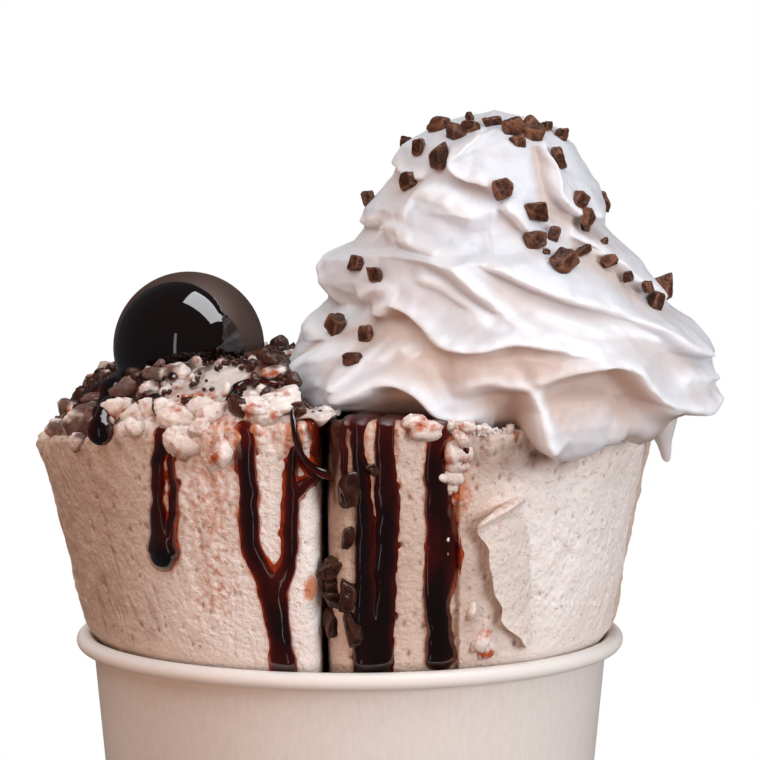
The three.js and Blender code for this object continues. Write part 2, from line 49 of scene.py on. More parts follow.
# Where the cup's axis stands in the frame, and metres in a millimetre
cupLow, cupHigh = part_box("paper_cup")
axisPlace = np.array([(cupLow.x + cupHigh.x) / 2, (cupLow.y + cupHigh.y) / 2, cupLow.z])
metre = 0.001

# The construction's own values, as the solids have them
cup = {
    "height": 76, "rimDiameter": 98, "rimTube": 1.5, "wall": 0.8, "baseRadius": 39.1,
    "taper": math.tan(math.radians(5.35)), "recess": 5,
}
rollShape = {
    "gap": 0.3, "hub": (-4, 4), "top": 43, "topPeak": -2, "sag": 0.0025, "flareStart": 1.3, "edgeArc": 3.1,
    "lean": 0.2185, "leanUneven": 0.0255, "spiralTurns": 3.6, "edgeInset": 2.6, "edgeDrop": 1.2,
}
rolls = {
    "left": {"centre": (-27.1, -9.9), "seams": (-90, 152), "corner": 14, "end": 120, "layer": 2.0},
    "right": {"centre": (19.1, -9.9), "seams": (-90, 28), "corner": 12, "end": -91, "layer": 1.3},
    "back": {"centre": (-4, 29), "seams": (28, 152), "corner": 10, "end": 60, "layer": 2.0},
}
heapSection = {"centre": (-26, -8), "seams": (-90, 152), "corner": 12, "reach": 3}
ball = {"radius": 13.3, "centre": (-28.3, -8, 51.2)}
ballMiddle = np.array(ball["centre"]) + np.array([0, 0, cup["height"]])


def smoothStep(low, high, value):
    # 0 below low, 1 above high, a soft S between
    share = np.clip((value - low) / (high - low), 0, 1)
    return share * share * (3 - 2 * share)


def hashed(cells, seed):
    # a repeatable number from 0 to 1 for each whole-numbered cell
    mixed = cells[..., 0] * 73856093 ^ cells[..., 1] * 19349663 ^ cells[..., 2] * 83492791 ^ seed * 265443
    mixed = (mixed ^ (mixed >> 13)) * 1274126177
    mixed = mixed ^ (mixed >> 16)
    return (mixed & 0xFFFFFF) / 0x1000000


def noise(points, size, seed):
    # smooth noise from -1 to 1: a hashed value at each corner of a lattice, blended by soft weights
    scaled = points / np.asarray(size, float)
    cell = np.floor(scaled).astype(np.int64)
    part = scaled - cell
    part = part * part * (3 - 2 * part)
    total = np.zeros(points.shape[:-1])
    for corner in itertools.product((0, 1), repeat=3):
        weight = np.prod(np.where(corner, part, 1 - part), axis=-1)
        total += weight * hashed(cell + np.array(corner), seed)
    return 2 * total - 1


def cellDistance(points, size, seed, share=1.0):
    # distance in cells to the nearest seeded point, of which a share of the cells have one
    scaled = points / np.asarray(size, float)
    cell = np.floor(scaled).astype(np.int64)
    nearest = np.full(points.shape[:-1], 3.0)
    for shift in itertools.product((-1, 0, 1), repeat=3):
        near = cell + np.array(shift)
        spot = near + 0.1 + 0.8 * np.stack([hashed(near, seed + k) for k in range(3)], axis=-1)
        distance = np.linalg.norm(scaled - spot, axis=-1)
        distance = np.where(hashed(near, seed + 5) < share, distance, 3.0)
        nearest = np.minimum(nearest, distance)
    return nearest


def curveThrough(rows, count):
    # a smooth line through rows of values: each stretch is the cubic whose ends keep its neighbours' slope
    rows = np.asarray(rows, float)
    padded = np.vstack([2 * rows[0] - rows[1], rows, 2 * rows[-1] - rows[-2]])
    place = np.linspace(0, len(rows) - 1, count)
    index = np.minimum(place.astype(int), len(rows) - 2)
    t = (place - index)[:, None]
    before, start, stop, after = (padded[index + k] for k in range(4))
    return 0.5 * (
        2 * start
        + (stop - before) * t
        + (2 * before - 5 * start + 4 * stop - after) * t**2
        + (3 * start - before - 3 * stop + after) * t**3
    )


def nearestOnLine(line, x, y):
    # distance, side (+1 left of the line's direction) and share along it, for the nearest place on a line
    start, along = line[:-1, :2], np.diff(line[:, :2], axis=0)
    fromX = x[..., None] - start[:, 0]
    fromY = y[..., None] - start[:, 1]
    length = np.maximum((along**2).sum(axis=1), 1e-9)
    share = np.clip((fromX * along[:, 0] + fromY * along[:, 1]) / length, 0, 1)
    distance = np.hypot(fromX - share * along[:, 0], fromY - share * along[:, 1])
    best = distance.argmin(axis=-1)[..., None]
    side = np.sign(along[:, 0] * fromY - along[:, 1] * fromX)
    pick = lambda values: np.take_along_axis(values, best, axis=-1)[..., 0]
    return pick(distance), pick(side), (best[..., 0] + pick(share)) / len(along)


# Meshes
def meshPiece(name, vertices, faces, material, attributes=None, replaces=()):
    # vertices in millimetres from the cup's axis, faces as arrays of three or four corners
    mesh = bpy.data.meshes.new(name)
    mesh.vertices.add(len(vertices))
    mesh.vertices.foreach_set("co", (np.asarray(vertices) * metre + axisPlace).ravel())
    corners = np.concatenate([part.ravel() for part in faces])
    sizes = np.concatenate([np.full(len(part), part.shape[1]) for part in faces])
    mesh.loops.add(len(corners))
    mesh.loops.foreach_set("vertex_index", corners)
    mesh.polygons.add(len(sizes))
    mesh.polygons.foreach_set("loop_start", np.concatenate([[0], np.cumsum(sizes)[:-1]]))
    mesh.update(calc_edges=True)
    mesh.shade_smooth()
    for key, values in (attributes or {}).items():
        column = mesh.attributes.new(key, "FLOAT", "POINT").data
        column.foreach_set("value", values.astype(np.float32).ravel())
    mesh.materials.append(material)
    piece = bpy.data.objects.new(name, mesh)
    bpy.context.scene.collection.objects.link(piece)
    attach(piece, "root")
    if replaces:
        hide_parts(*replaces)
    triangles = int((sizes - 2).sum())
    print(f"{name}: {triangles} triangles")
    return piece


def closedFaces(rows, turns):
    # faces of a closed surface of rows round an axis, whose first and last rows are single points
    index = 1 + np.arange((rows - 2) * turns).reshape(rows - 2, turns)
    right = np.roll(index, -1, axis=1)
    quads = np.stack([index[:-1], right[:-1], right[1:], index[1:]], axis=-1).reshape(-1, 4)
    first = np.stack([np.zeros(turns, int), right[0], index[0]], axis=-1)
    last = np.stack([np.full(turns, index[-1, -1] + 1), index[-1], right[-1]], axis=-1)
    return [quads, np.vstack([first, last])]


def closedRows(grid):
    # the vertices that closedFaces counts: one for each pole and the rows between them
    return np.vstack([grid[:1, 0], grid[1:-1].reshape(-1, grid.shape[-1]), grid[-1:, 0]])


def closedValues(values):
    return closedRows(values[..., None])[:, 0]


def closedPiece(name, grid, material, values, replaces=()):
    # a closed surface from its rows of points; each named value is a grid of numbers or one number
    attributes = {key: closedValues(np.broadcast_to(part, grid.shape[:2])) for key, part in values.items()}
    faces = closedFaces(*grid.shape[:2])
    return meshPiece(name, closedRows(grid), faces, material, attributes, replaces)


# Materials: colours are written as the 0 to 255 values that a paint program shows
def colour(red, green, blue):
    tint = [part / 255 for part in (red, green, blue)]
    return (*[part / 12.92 if part <= 0.04045 else ((part + 0.055) / 1.055) ** 2.4 for part in tint], 1)


def feed(tree, socket, value):
    # link another node's output, or set the socket's own value
    if isinstance(value, bpy.types.NodeSocket):
        tree.links.new(value, socket)
    else:
        socket.default_value = value


def addNode(tree, kind, inputs=None, **settings):
    node = tree.nodes.new(kind)
    for key, value in settings.items():
        setattr(node, key, value)
    for key, value in (inputs or {}).items():
        feed(tree, node.inputs[key], value)
    return node


def newGroup(name, inputs, outputs):
    group = bpy.data.node_groups.new(name, "ShaderNodeTree")
    for label, kind, value in inputs:
        socket = group.interface.new_socket(label, in_out="INPUT", socket_type=kind)
        if value is not None:
            socket.default_value = value
    for label, kind in outputs:
        group.interface.new_socket(label, in_out="OUTPUT", socket_type=kind)
    return group, group.nodes.new("NodeGroupInput").outputs, group.nodes.new("NodeGroupOutput")


def mathNode(tree, operation, first, second=0.0, clamp=False):
    node = tree.nodes.new("ShaderNodeMath")
    node.operation = operation
    node.use_clamp = clamp
    for socket, value in zip(node.inputs, (first, second)):
        feed(tree, socket, value)
    return node.outputs[0]


def ramp(tree, value, start, gain):
    # 0 up to the start, then climbing by the gain, and 1 at most
    return mathNode(tree, "MULTIPLY", mathNode(tree, "SUBTRACT", value, start), gain, True)


def spread(tree, mask, low, high):
    # from low where the mask is 0 to high where it is 1
    return addNode(tree, "ShaderNodeMapRange", {"Value": mask, "To Min": low, "To Max": high}).outputs[0]


def mixColour(tree, factor, first, second):
    return addNode(tree, "ShaderNodeMix", {0: factor, 6: first, 7: second}, data_type="RGBA").outputs[2]


def makeSpeckGroup():
    # small spots: near a cell's own point the mask is 1, in a share of the cells
    inputs = [("Vector", "NodeSocketVector", None), ("Size", "NodeSocketFloat", 0.001),
              ("Share", "NodeSocketFloat", 0.5)]
    group, given, result = newGroup("specks", inputs, [("Mask", "NodeSocketFloat")])
    scale = mathNode(group, "DIVIDE", 1.0, given["Size"])
    cells = addNode(group, "ShaderNodeTexVoronoi", {"Vector": given["Vector"], "Scale": scale})
    split = addNode(group, "ShaderNodeSeparateColor", {"Color": cells.outputs["Color"]})
    chosen = mathNode(group, "LESS_THAN", split.outputs[0], given["Share"])
    reach = mathNode(group, "ADD", mathNode(group, "MULTIPLY", split.outputs[1], 0.2), 0.12)
    near = ramp(group, reach, cells.outputs["Distance"], 14)
    group.links.new(mathNode(group, "MULTIPLY", near, chosen), result.inputs["Mask"])
    return group


def makeGrainGroup():
    # uneven grain: two sizes of noise as a height, and a broad one as a tone
    inputs = [("Vector", "NodeSocketVector", None), ("Size", "NodeSocketFloat", 0.001)]
    outputs = [("Height", "NodeSocketFloat"), ("Tone", "NodeSocketFloat")]
    group, given, result = newGroup("grain", inputs, outputs)
    place = given["Vector"]
    scale = mathNode(group, "DIVIDE", 1.0, given["Size"])
    fine = addNode(group, "ShaderNodeTexNoise", {"Vector": place, "Scale": scale, "Detail": 3.0})
    broadScale = mathNode(group, "MULTIPLY", scale, 0.12)
    broad = addNode(group, "ShaderNodeTexNoise", {"Vector": place, "Scale": broadScale, "Detail": 2.0})
    group.links.new(fine.outputs["Fac"], result.inputs["Height"])
    group.links.new(broad.outputs["Fac"], result.inputs["Tone"])
    return group


speckGroup = makeSpeckGroup()
grainGroup = makeGrainGroup()


def newMaterial(name, roughness, **sockets):
    material = bpy.data.materials.new(name)
    material.use_nodes = True
    tree = material.node_tree
    tree.nodes.clear()
    shader = addNode(tree, "ShaderNodeBsdfPrincipled", {"Roughness": roughness, **sockets})
    output = addNode(tree, "ShaderNodeOutputMaterial")
    tree.links.new(shader.outputs[0], output.inputs[0])
    place = addNode(tree, "ShaderNodeTexCoord").outputs["Object"]
    return material, tree, shader, place


def addGroup(tree, group, **inputs):
    return addNode(tree, "ShaderNodeGroup", inputs, node_tree=group).outputs


def addBump(tree, shader, height, distance, strength=1.0):
    bump = addNode(tree, "ShaderNodeBump", {"Height": height, "Distance": distance, "Strength": strength})
    tree.links.new(bump.outputs[0], shader.inputs["Normal"])


def readValue(tree, name):
    return addNode(tree, "ShaderNodeAttribute", attribute_name=name).outputs["Fac"]


def makeIceCream(name, look):
    # pale brown ice cream: broad tone changes, dark specks, reddish stains, painted brown shade where the
    # shade value says, small pits in the bump
    material, tree, shader, place = newMaterial(name, look["roughness"], **{
        "Subsurface Weight": look["softness"], "Subsurface Radius": (1.0, 0.65, 0.5),
        "Subsurface Scale": 0.0012, "Specular IOR Level": 0.35,
    })
    grain = addGroup(tree, grainGroup, Vector=place, Size=look["grain"])
    base = mixColour(tree, grain["Tone"], look["light"], look["dark"])
    paler = mixColour(tree, grain["Tone"], look["paleLight"], look["paleDark"])
    base = mixColour(tree, readValue(tree, "pale"), base, paler)
    # specks, and dust at less than half their size
    for size, share, strength in ((1.0, look["speckShare"], 0.5), (0.45, 0.3, 0.25)):
        spots = addGroup(tree, speckGroup, Vector=place, Size=look["speckSize"] * size, Share=share)["Mask"]
        base = mixColour(tree, mathNode(tree, "MULTIPLY", spots, strength), base, look["speck"])
    stained = readValue(tree, "stain")
    cloud = addNode(tree, "ShaderNodeTexNoise", {"Vector": place, "Scale": 900.0, "Detail": 3.0})
    blotches = mathNode(tree, "MULTIPLY", cloud.outputs[0], 0.9)
    stain = ramp(tree, mathNode(tree, "ADD", stained, blotches), 0.62, 2.6)
    stain = mathNode(tree, "MULTIPLY", stain, mathNode(tree, "GREATER_THAN", stained, 0.02))
    base = mixColour(tree, stain, base, look["stain"])
    # painted shade: towards the deep brown where the shade value is high
    base = mixColour(tree, readValue(tree, "shade"), base, look["deep"])
    wet = readValue(tree, "wet")
    thick = mathNode(tree, "MULTIPLY", grain["Tone"], wet)
    sauceTone = mixColour(tree, thick, look["wetThin"], look["wetThick"])
    feed(tree, shader.inputs["Base Color"], mixColour(tree, wet, base, sauceTone))
    feed(tree, shader.inputs["Roughness"], spread(tree, wet, look["roughness"], look["wetRoughness"]))
    pits = addGroup(tree, speckGroup, Vector=place, Size=look["speckSize"] * 1.5, Share=0.5)["Mask"]
    height = mathNode(tree, "SUBTRACT", grain["Height"], mathNode(tree, "MULTIPLY", pits, 0.35))
    dry = mathNode(tree, "SUBTRACT", 1.0, wet)
    addBump(tree, shader, mathNode(tree, "MULTIPLY", height, dry), look["bump"])
    return material


def makeChocolate(name, look):
    # broken chocolate: lighter along its edges, partly dusty wear and partly a painted highlight, mottled,
    # faintly grainy
    material, tree, shader, place = newMaterial(name, look["roughness"], **{
        "Specular IOR Level": 0.35, "Coat Weight": look["coat"], "Coat Roughness": 0.12,
    })
    grain = addGroup(tree, grainGroup, Vector=place, Size=look["grain"])
    base = mixColour(tree, ramp(tree, grain["Height"], 0.3, 2.2), look["dark"], look["light"])
    # lighter edges: partly dusty wear, partly a painted highlight where the edges catch light
    edgeWearAndHighlight = mathNode(tree, "MULTIPLY", readValue(tree, "edge"), look["edgeShare"])
    feed(tree, shader.inputs["Base Color"], mixColour(tree, edgeWearAndHighlight, base, look["edge"]))
    addBump(tree, shader, grain["Height"], look["bump"])
    return material


def makeSauce(name, look):
    # chocolate sauce: near black where it is thick, red brown where its edge runs thin, dull at the old ends
    material, tree, shader, place = newMaterial(name, look["roughness"], **{
        "IOR": 1.5, "Coat Roughness": 0.03,
    })
    wander = addNode(tree, "ShaderNodeTexNoise", {"Vector": place, "Scale": 700.0, "Detail": 2.0})
    thin = mathNode(tree, "MULTIPLY", readValue(tree, "thin"), mathNode(tree, "ADD", wander.outputs[0], 0.5))
    middle = mixColour(tree, mathNode(tree, "MULTIPLY", thin, 2.0, True), look["thick"], look["middle"])
    edge = ramp(tree, thin, 0.62, 2.6)
    feed(tree, shader.inputs["Base Color"], mixColour(tree, edge, middle, look["thin"]))
    dull = readValue(tree, "dull")
    feed(tree, shader.inputs["Roughness"], spread(tree, dull, look["roughness"], look["dullRoughness"]))
    feed(tree, shader.inputs["Coat Weight"], spread(tree, dull, look["coat"], 0.0))
    ripple = addNode(tree, "ShaderNodeTexNoise", {"Vector": place, "Scale": 260.0, "Detail": 1.0})
    addBump(tree, shader, ripple.outputs[0], look["bump"])
    return material


# deep is the colour of the painted brown shade
rollLook = {
    "light": colour(230, 211, 198), "dark": colour(208, 187, 172), "speck": colour(150, 110, 90),
    "stain": colour(206, 138, 104), "deep": colour(128, 88, 68), "roughness": 0.52, "softness": 0.2,
    "grain": 0.0009, "speckSize": 0.0012, "speckShare": 0.12, "bump": 0.0005,
    "wetThin": colour(112, 72, 58), "wetThick": colour(50, 26, 20), "wetRoughness": 0.12,
    "paleLight": colour(255, 251, 249), "paleDark": colour(248, 240, 236),
}
lumpLook = {**rollLook, "speckShare": 0.06, "roughness": 0.34, "stain": colour(184, 86, 40), "bump": 0.0003}
chipLook = {
    "dark": colour(40, 18, 12), "light": colour(98, 60, 44), "edge": colour(172, 116, 84),
    "roughness": 0.36, "grain": 0.0006, "bump": 0.0006, "edgeShare": 0.75, "coat": 0.0,
}
nuggetLook = {
    "dark": colour(28, 12, 9), "light": colour(70, 40, 30), "edge": colour(120, 74, 54),
    "roughness": 0.2, "grain": 0.0008, "bump": 0.0005, "edgeShare": 0.5, "coat": 0.2,
}
grooveLook = {
    "dark": colour(18, 7, 5), "light": colour(60, 31, 22), "edge": colour(124, 82, 64),
    "roughness": 0.16, "grain": 0.0018, "bump": 0.0004, "edgeShare": 0.3, "coat": 0.4,
}
sauceLook = {
    "thick": colour(11, 2, 2), "middle": colour(78, 13, 3), "thin": colour(160, 56, 16),
    "roughness": 0.09, "dullRoughness": 0.5, "coat": 0.7, "bump": 0.0004,
}
iceMaterial = makeIceCream("iceCream", rollLook)
lumpMaterial = makeIceCream("iceLumps", lumpLook)
chipMaterial = makeChocolate("chocolateChips", chipLook)
nuggetMaterial = makeChocolate("nuggets", nuggetLook)
grooveMaterial = makeChocolate("groovePieces", grooveLook)
sauceMaterial = makeSauce("chocolateSauce", sauceLook)
print("materials ready")


# Paper cup
cupFinish = {
    "turns": 300, "seamAngle": 64, "seamWidth": 8.5, "seamRise": 0.2, "crimpHeight": 6.5, "crimpDepth": 0.18,
    "paper": colour(231, 226, 222), "shade": colour(218, 211, 204), "rim": colour(240, 237, 234),
    "roughness": 0.38,
}


def makePaper():
    # coated board: faint fibres in tone and bump, and a lighter white on the rim, partly painted light
    material, tree, shader, place = newMaterial("cupPaper", cupFinish["roughness"], **{
        "Specular IOR Level": 0.4, "Subsurface Weight": 0.08, "Subsurface Scale": 0.0008,
    })
    stretch = addNode(tree, "ShaderNodeMapping", {"Vector": place, "Scale": (1.0, 1.0, 0.35)}).outputs[0]
    grain = addGroup(tree, grainGroup, Vector=stretch, Size=0.0009)
    base = mixColour(tree, ramp(tree, grain["Height"], 0.35, 1.2), cupFinish["paper"], cupFinish["shade"])
    feed(tree, shader.inputs["Base Color"], mixColour(tree, readValue(tree, "rim"), base, cupFinish["rim"]))
    addBump(tree, shader, grain["Height"], 0.00005)
    return material


def cupOutline():
    # radius and height from the floor's middle underneath, over the rim and down to the floor inside
    wallAt = lambda height: cup["baseRadius"] + cup["taper"] * height
    foot = cup["baseRadius"] - 1.28
    rimRadius = cup["rimDiameter"] / 2 - cup["rimTube"]
    rimHeight = cup["height"] - cup["rimTube"]
    rim = np.radians(np.linspace(-140, 150, 40))
    wallHeights = np.linspace(0.35, cup["height"] - 3, 60)
    innerHeights = np.linspace(cup["height"] - 1.5, cup["recess"] + 1.1, 14)
    under = np.array([[0, 5], [12, 5], [26, 5], [foot - 0.6, 5], [foot - 0.12, 4.8], [foot, 4.2], [foot, 2],
                      [foot, 0.35], [foot + 0.2, 0.06], [foot + 0.5, 0], [cup["baseRadius"] - 0.4, 0],
                      [cup["baseRadius"] - 0.1, 0.08]])
    wall = np.stack([wallAt(wallHeights), wallHeights], axis=1)
    lip = np.stack([np.cos(rim), np.sin(rim)], axis=1) * cup["rimTube"] + np.array([rimRadius, rimHeight])
    inner = np.stack([wallAt(innerHeights) - cup["wall"], innerHeights], axis=1)
    floor = cup["recess"] + cup["wall"]
    return np.vstack([under, wall, lip, inner, [[36, floor], [20, floor], [0, floor]]])


def buildCup():
    # the outline turned round the axis; a lap 8.5 mm wide rises at the back, a crimp rings the foot
    outline = cupOutline()
    angle = np.linspace(0, 2 * np.pi, cupFinish["turns"], endpoint=False)
    radius = np.repeat(outline[:, :1], len(angle), axis=1)
    height = np.repeat(outline[:, 1:], len(angle), axis=1)
    outside = (np.arange(len(outline)) >= 12) & (np.arange(len(outline)) < 72)
    fromSeam = (np.degrees(angle) - cupFinish["seamAngle"]) * radius * math.pi / 180
    lapEnd = smoothStep(cupFinish["seamWidth"], cupFinish["seamWidth"] + 2, fromSeam)
    lap = smoothStep(-0.3, 0.1, fromSeam) * (1 - lapEnd)
    crimp = np.exp(-(((height - cupFinish["crimpHeight"]) / 0.5) ** 2))
    radius = radius + outside[:, None] * (cupFinish["seamRise"] * lap - cupFinish["crimpDepth"] * crimp)
    grid = np.stack([radius * np.cos(angle), radius * np.sin(angle), height], axis=-1)
    # a lighter white over the rolled rim: partly its own whiter paper, partly painted light on its top
    rim = smoothStep(cup["height"] - 3.4, cup["height"] - 2.2, height)
    closedPiece("cup_wall", grid, makePaper(), {"rim": rim}, ["paper_cup"])


buildCup()


# Rolls
def iceRadius(height, angle):
    # inside the cup's wall, a step out over the rim, then a flare that leans out evenly
    insideRadius = cup["baseRadius"] - cup["wall"] - rollShape["gap"] - 0.1
    inside = cup["height"] - 1.6
    heights = [0, inside, cup["height"] - 0.8, cup["height"] + 0.3, cup["height"] + rollShape["flareStart"]]
    radii = [insideRadius, insideRadius + cup["taper"] * inside, 45.5, 46.2, 47.1]
    lean = rollShape["lean"] - rollShape["leanUneven"] * np.cos(angle)
    return np.interp(height, heights, radii) + lean * np.maximum(height - heights[-1], 0)


def topHeight(x):
    return cup["height"] + rollShape["top"] - rollShape["sag"] * (x - rollShape["topPeak"]) ** 2


def turnedFrom(section, angle):
    return np.mod(section.get("end", 0) - np.degrees(angle), 360)


def sectionRadius(section, angle, height):
    # a soft least of the ways to the outer circle and to the seams, less the step at the sheet's end
    cx, cy = section["centre"]
    along = cx * np.cos(angle) + cy * np.sin(angle)
    reach = -along + np.sqrt(along**2 - cx**2 - cy**2 + iceRadius(height, angle) ** 2)
    total = reach ** -float(section["corner"])
    for seam in section["seams"]:
        normal = np.array([-math.sin(math.radians(seam)), math.cos(math.radians(seam))])
        away = (rollShape["hub"][0] - cx) * normal[0] + (rollShape["hub"][1] - cy) * normal[1]
        if away < 0:
            normal, away = -normal, -away
        facing = np.cos(angle) * normal[0] + np.sin(angle) * normal[1]
        distance = (away - rollShape["gap"] / 2 + section.get("reach", 0)) / np.maximum(facing, 0.001)
        total = total + np.where(facing > 0.001, distance ** -float(section["corner"]), 0)
    layer = section.get("layer", 0) * np.exp(-turnedFrom(section, angle) / 60)
    return total ** (-1 / section["corner"]) - layer


rollFinish = {
    "columns": 460, "crowding": 0.5, "flareRows": 132, "edgeRows": 10, "capRows": 44, "backCapRows": 58,
    "swell": 0.5, "lumps": 0.28, "crumbs": 0.13, "grain": 0.17, "pitDepth": 0.5, "crumble": 0.75,
    "streaks": 0.3, "melted": 1.0, "grooveDepth": 1.9,
}
# Patches of a roll's front: x, height above the rim, half width, half height, amount
roughPatches = {
    "left": [(-22, 30, 8, 16, 1.0), (-24, 42, 26, 5, 1.2), (-46, 20, 10, 26, 0.35)],
    "right": [(28, 37, 16, 6, 1.0), (36, 20, 9, 8, 0.8), (20, 7, 5, 6, 0.6), (10, 22, 4, 24, 0.3)],
    "back": [(-4, 40, 60, 5, 0.9)],
}
stainPatches = {
    "left": [(-22.5, 30, 5.5, 15, 0.36), (-14, 42, 11, 4, 0.3), (-44, 42, 10, 4, 0.3), (-22, 12, 6, 6, 0.2),
             (-6.0, 14.4, 1.4, 2.2, 0.8)],
    "right": [(18, 31, 3, 5, 0.6), (14, 41, 6, 3, 0.35), (26, 25, 5, 3, 0.2), (7, 44, 12, 1.5, 0.3)],
    "back": [(-4, 43, 60, 3, 0.2)],
}


smoothAreas = {"left": [(-9, 10, 12, 17, 0.8)], "right": [(12, 24, 5, 24, 0.3)], "back": []}
# Paler ice cream
palePatches = {
    "left": [(-20, 34, 12, 20, 1.0), (-11, 16, 12, 26, 1.0), (-27, 12, 10, 18, 0.7)],
    "right": [(12, 38, 8, 7, 0.3), (32, 20, 9, 26, 0.75), (46, 22, 14, 34, 0.8)],
    "back": [(-4, 40, 60, 5, 0.2)],
}
# Painted brown shade: the shadow under the cream's edge and beside the flake, the shaded strips by the seam
# and the left roll's shaded left flank; at the tops it also stands for sauce soaked in
shadePatches = {
    "left": [(-4.8, 38, 1.6, 8, 0.4), (-46, 14, 13, 34, 0.26)],
    "right": [(20.5, 13, 3, 14, 0.2), (32, 35.2, 8.5, 2.6, 0.8), (-2.4, 34, 2.2, 14, 0.75),
              (8, 44, 11, 1.6, 0.4),
              (6, 16, 5, 30, 0.16), (22, 37, 3, 4, 0.3)],
    "back": [],
}
# Sauce that soaked into the rolls on both sides of the groove's top
soakedPatches = {
    "left": [(-5.4, 42, 1.3, 3.6, 0.9)],
    "right": [(-1.2, 41.8, 2.3, 4.4, 1.2), (-2.6, 35, 1.2, 8, 0.7)],
    "back": [],
}


def patchAmount(patches, x, above):
    # soft round hills over the patches, added up
    total = np.zeros_like(x)
    for middleX, middleZ, width, height, amount in patches:
        total += amount * np.exp(-(((x - middleX) / width) ** 2) - ((above - middleZ) / height) ** 2)
    return total


def flatPatches(patches, points):
    # the same over places seen from above, and 1 at most
    return np.clip(patchAmount(patches, points[..., 0], points[..., 1]), 0, 1)


def rollRelief(name, points):
    # swells, lumps and grain as noise of three sizes, rougher in the patches, less the small pits; also a
    # mask of painted shade in the pits and streaks
    seed = 11 * list(rolls).index(name)
    x, above = points[..., 0], points[..., 2] - cup["height"]
    front = points[..., 1] < rolls[name]["centre"][1]
    rough = np.where(front, patchAmount(roughPatches[name], x, above), 0.35)
    swell = rollFinish["swell"] * noise(points, 12, seed) * 0.6 + 0.25 * noise(points, (6, 6, 9), seed + 1)
    calm = 1 - patchAmount(smoothAreas[name], x, above) * front
    lumps = rollFinish["lumps"] * (0.45 + 1.5 * rough) * noise(points, (2.6, 2.6, 3.6), seed + 2)
    crumbs = rollFinish["crumbs"] * (0.7 + 1.2 * rough) * noise(points, (1.5, 1.5, 2.0), seed + 5)
    grain = rollFinish["grain"] * (0.6 + 1.2 * rough) * noise(points, (0.85, 0.85, 1.1), seed + 3)
    deep = cellDistance(points, (1.5, 1.5, 2.6), seed + 4, 0.32 * calm + 0.4 * np.clip(rough, 0, 1))
    pits = -rollFinish["pitDepth"] * smoothStep(0.4, 0.1, deep)
    slanted = points + np.stack([0.32 * points[..., 2], 0 * x, 0 * x], -1)
    streaks = smoothStep(0.3, 0.8, noise(slanted, (0.9, 1.2, 4.2), seed + 6)) * smoothStep(-20, -34, x)
    streaks = streaks * front * (name == "left")
    relief = swell + calm * (lumps + crumbs + grain) + pits - rollFinish["streaks"] * streaks
    return relief, smoothStep(0.3, 0.05, deep) + 0.55 * streaks


def rollGrid(name, capRows):
    # rows from the floor up the wall and the flare, over a rounded edge, then in over the coiled top
    section = rolls[name]
    cx, cy = section["centre"]
    floor = cup["recess"] + cup["wall"] + rollShape["gap"]
    start = cup["height"] + rollShape["flareStart"]
    columns = rollFinish["columns"]
    spare = 0.0012
    even = np.arange(-1, columns - 1) / (columns - 1) * (1 - 2 * spare) + spare
    even[0] = -spare
    frontTurn = ((90 if name == "back" else -90) - section["end"]) % 360 / 360
    crowded = np.sin(2 * np.pi * (even - frontTurn)) + math.sin(2 * np.pi * frontTurn)
    turn = even - rollFinish["crowding"] / (2 * np.pi) * crowded
    angle = math.radians(section["end"]) + turn * 2 * np.pi
    rimRadius = sectionRadius(section, angle, cup["height"] + 36)
    top = topHeight(cx + rimRadius * np.cos(angle))
    edge = np.stack([cx + rimRadius * np.cos(angle), cy + rimRadius * np.sin(angle), top], -1)
    crumbs = noise(edge, 3.2, 90)
    top = top - 0.7 * np.maximum(crumbs, 0) * rollFinish["crumble"]
    wall = [floor, floor + 2, 30, 55, cup["height"] - 1.6, cup["height"] - 0.8, cup["height"] + 0.3, start]
    height = [np.full(columns, floor)] + [np.full(columns, level) for level in wall]
    inset = [np.zeros(columns), np.full(columns, 1.5)] + [np.zeros(columns)] * (len(wall) - 1)
    flare = np.linspace(0, 1, rollFinish["flareRows"] + 1)[1:, None]
    height += list(start + flare * (top - rollShape["edgeDrop"] - start))
    inset += [np.zeros(columns)] * rollFinish["flareRows"]
    bend = np.linspace(0, np.pi / 2, rollFinish["edgeRows"] + 1)[1:, None]
    height += list(top - rollShape["edgeDrop"] * (1 - np.sin(bend)))
    inset += list(rollShape["edgeInset"] * (1 - np.cos(bend)) + 0 * top)
    height, inset = np.array(height), np.array(inset)
    radius = sectionRadius(section, angle, height) - inset
    radius[0] = 0
    share = np.linspace(1, 0, capRows + 1)[1:, None]
    capRadius = (sectionRadius(section, angle, top) - rollShape["edgeInset"]) * share
    x = cx + capRadius * np.cos(angle)
    y = cy + capRadius * np.sin(angle)
    coil = share * rollShape["spiralTurns"] + turnedFrom(section, angle) / 360
    wander = 0.09 * noise(np.stack([x, y, np.zeros_like(x)], -1), 7, 31)
    phase = np.mod(coil + wander, 1)
    groove = np.maximum(0, 1 - np.abs(phase - 0.5) / 0.17) * smoothStep(0, 0.12, share)
    capHeight = topHeight(x) - rollFinish["grooveDepth"] * groove
    capHeight += (top - topHeight(edge[:, 0])) * smoothStep(0.8, 1, share)
    wallGrid = np.stack([cx + radius * np.cos(angle), cy + radius * np.sin(angle), height], -1)
    grid = np.concatenate([wallGrid, np.stack([x, y, capHeight], -1)])
    tilt = np.zeros(len(grid))
    edgeStart = len(wall) + 1 + rollFinish["flareRows"]
    tilt[edgeStart:edgeStart + rollFinish["edgeRows"]] = np.sin(bend[:, 0])
    tilt[edgeStart + rollFinish["edgeRows"]:] = 1
    return grid, angle, tilt, np.concatenate([np.zeros_like(radius), groove])


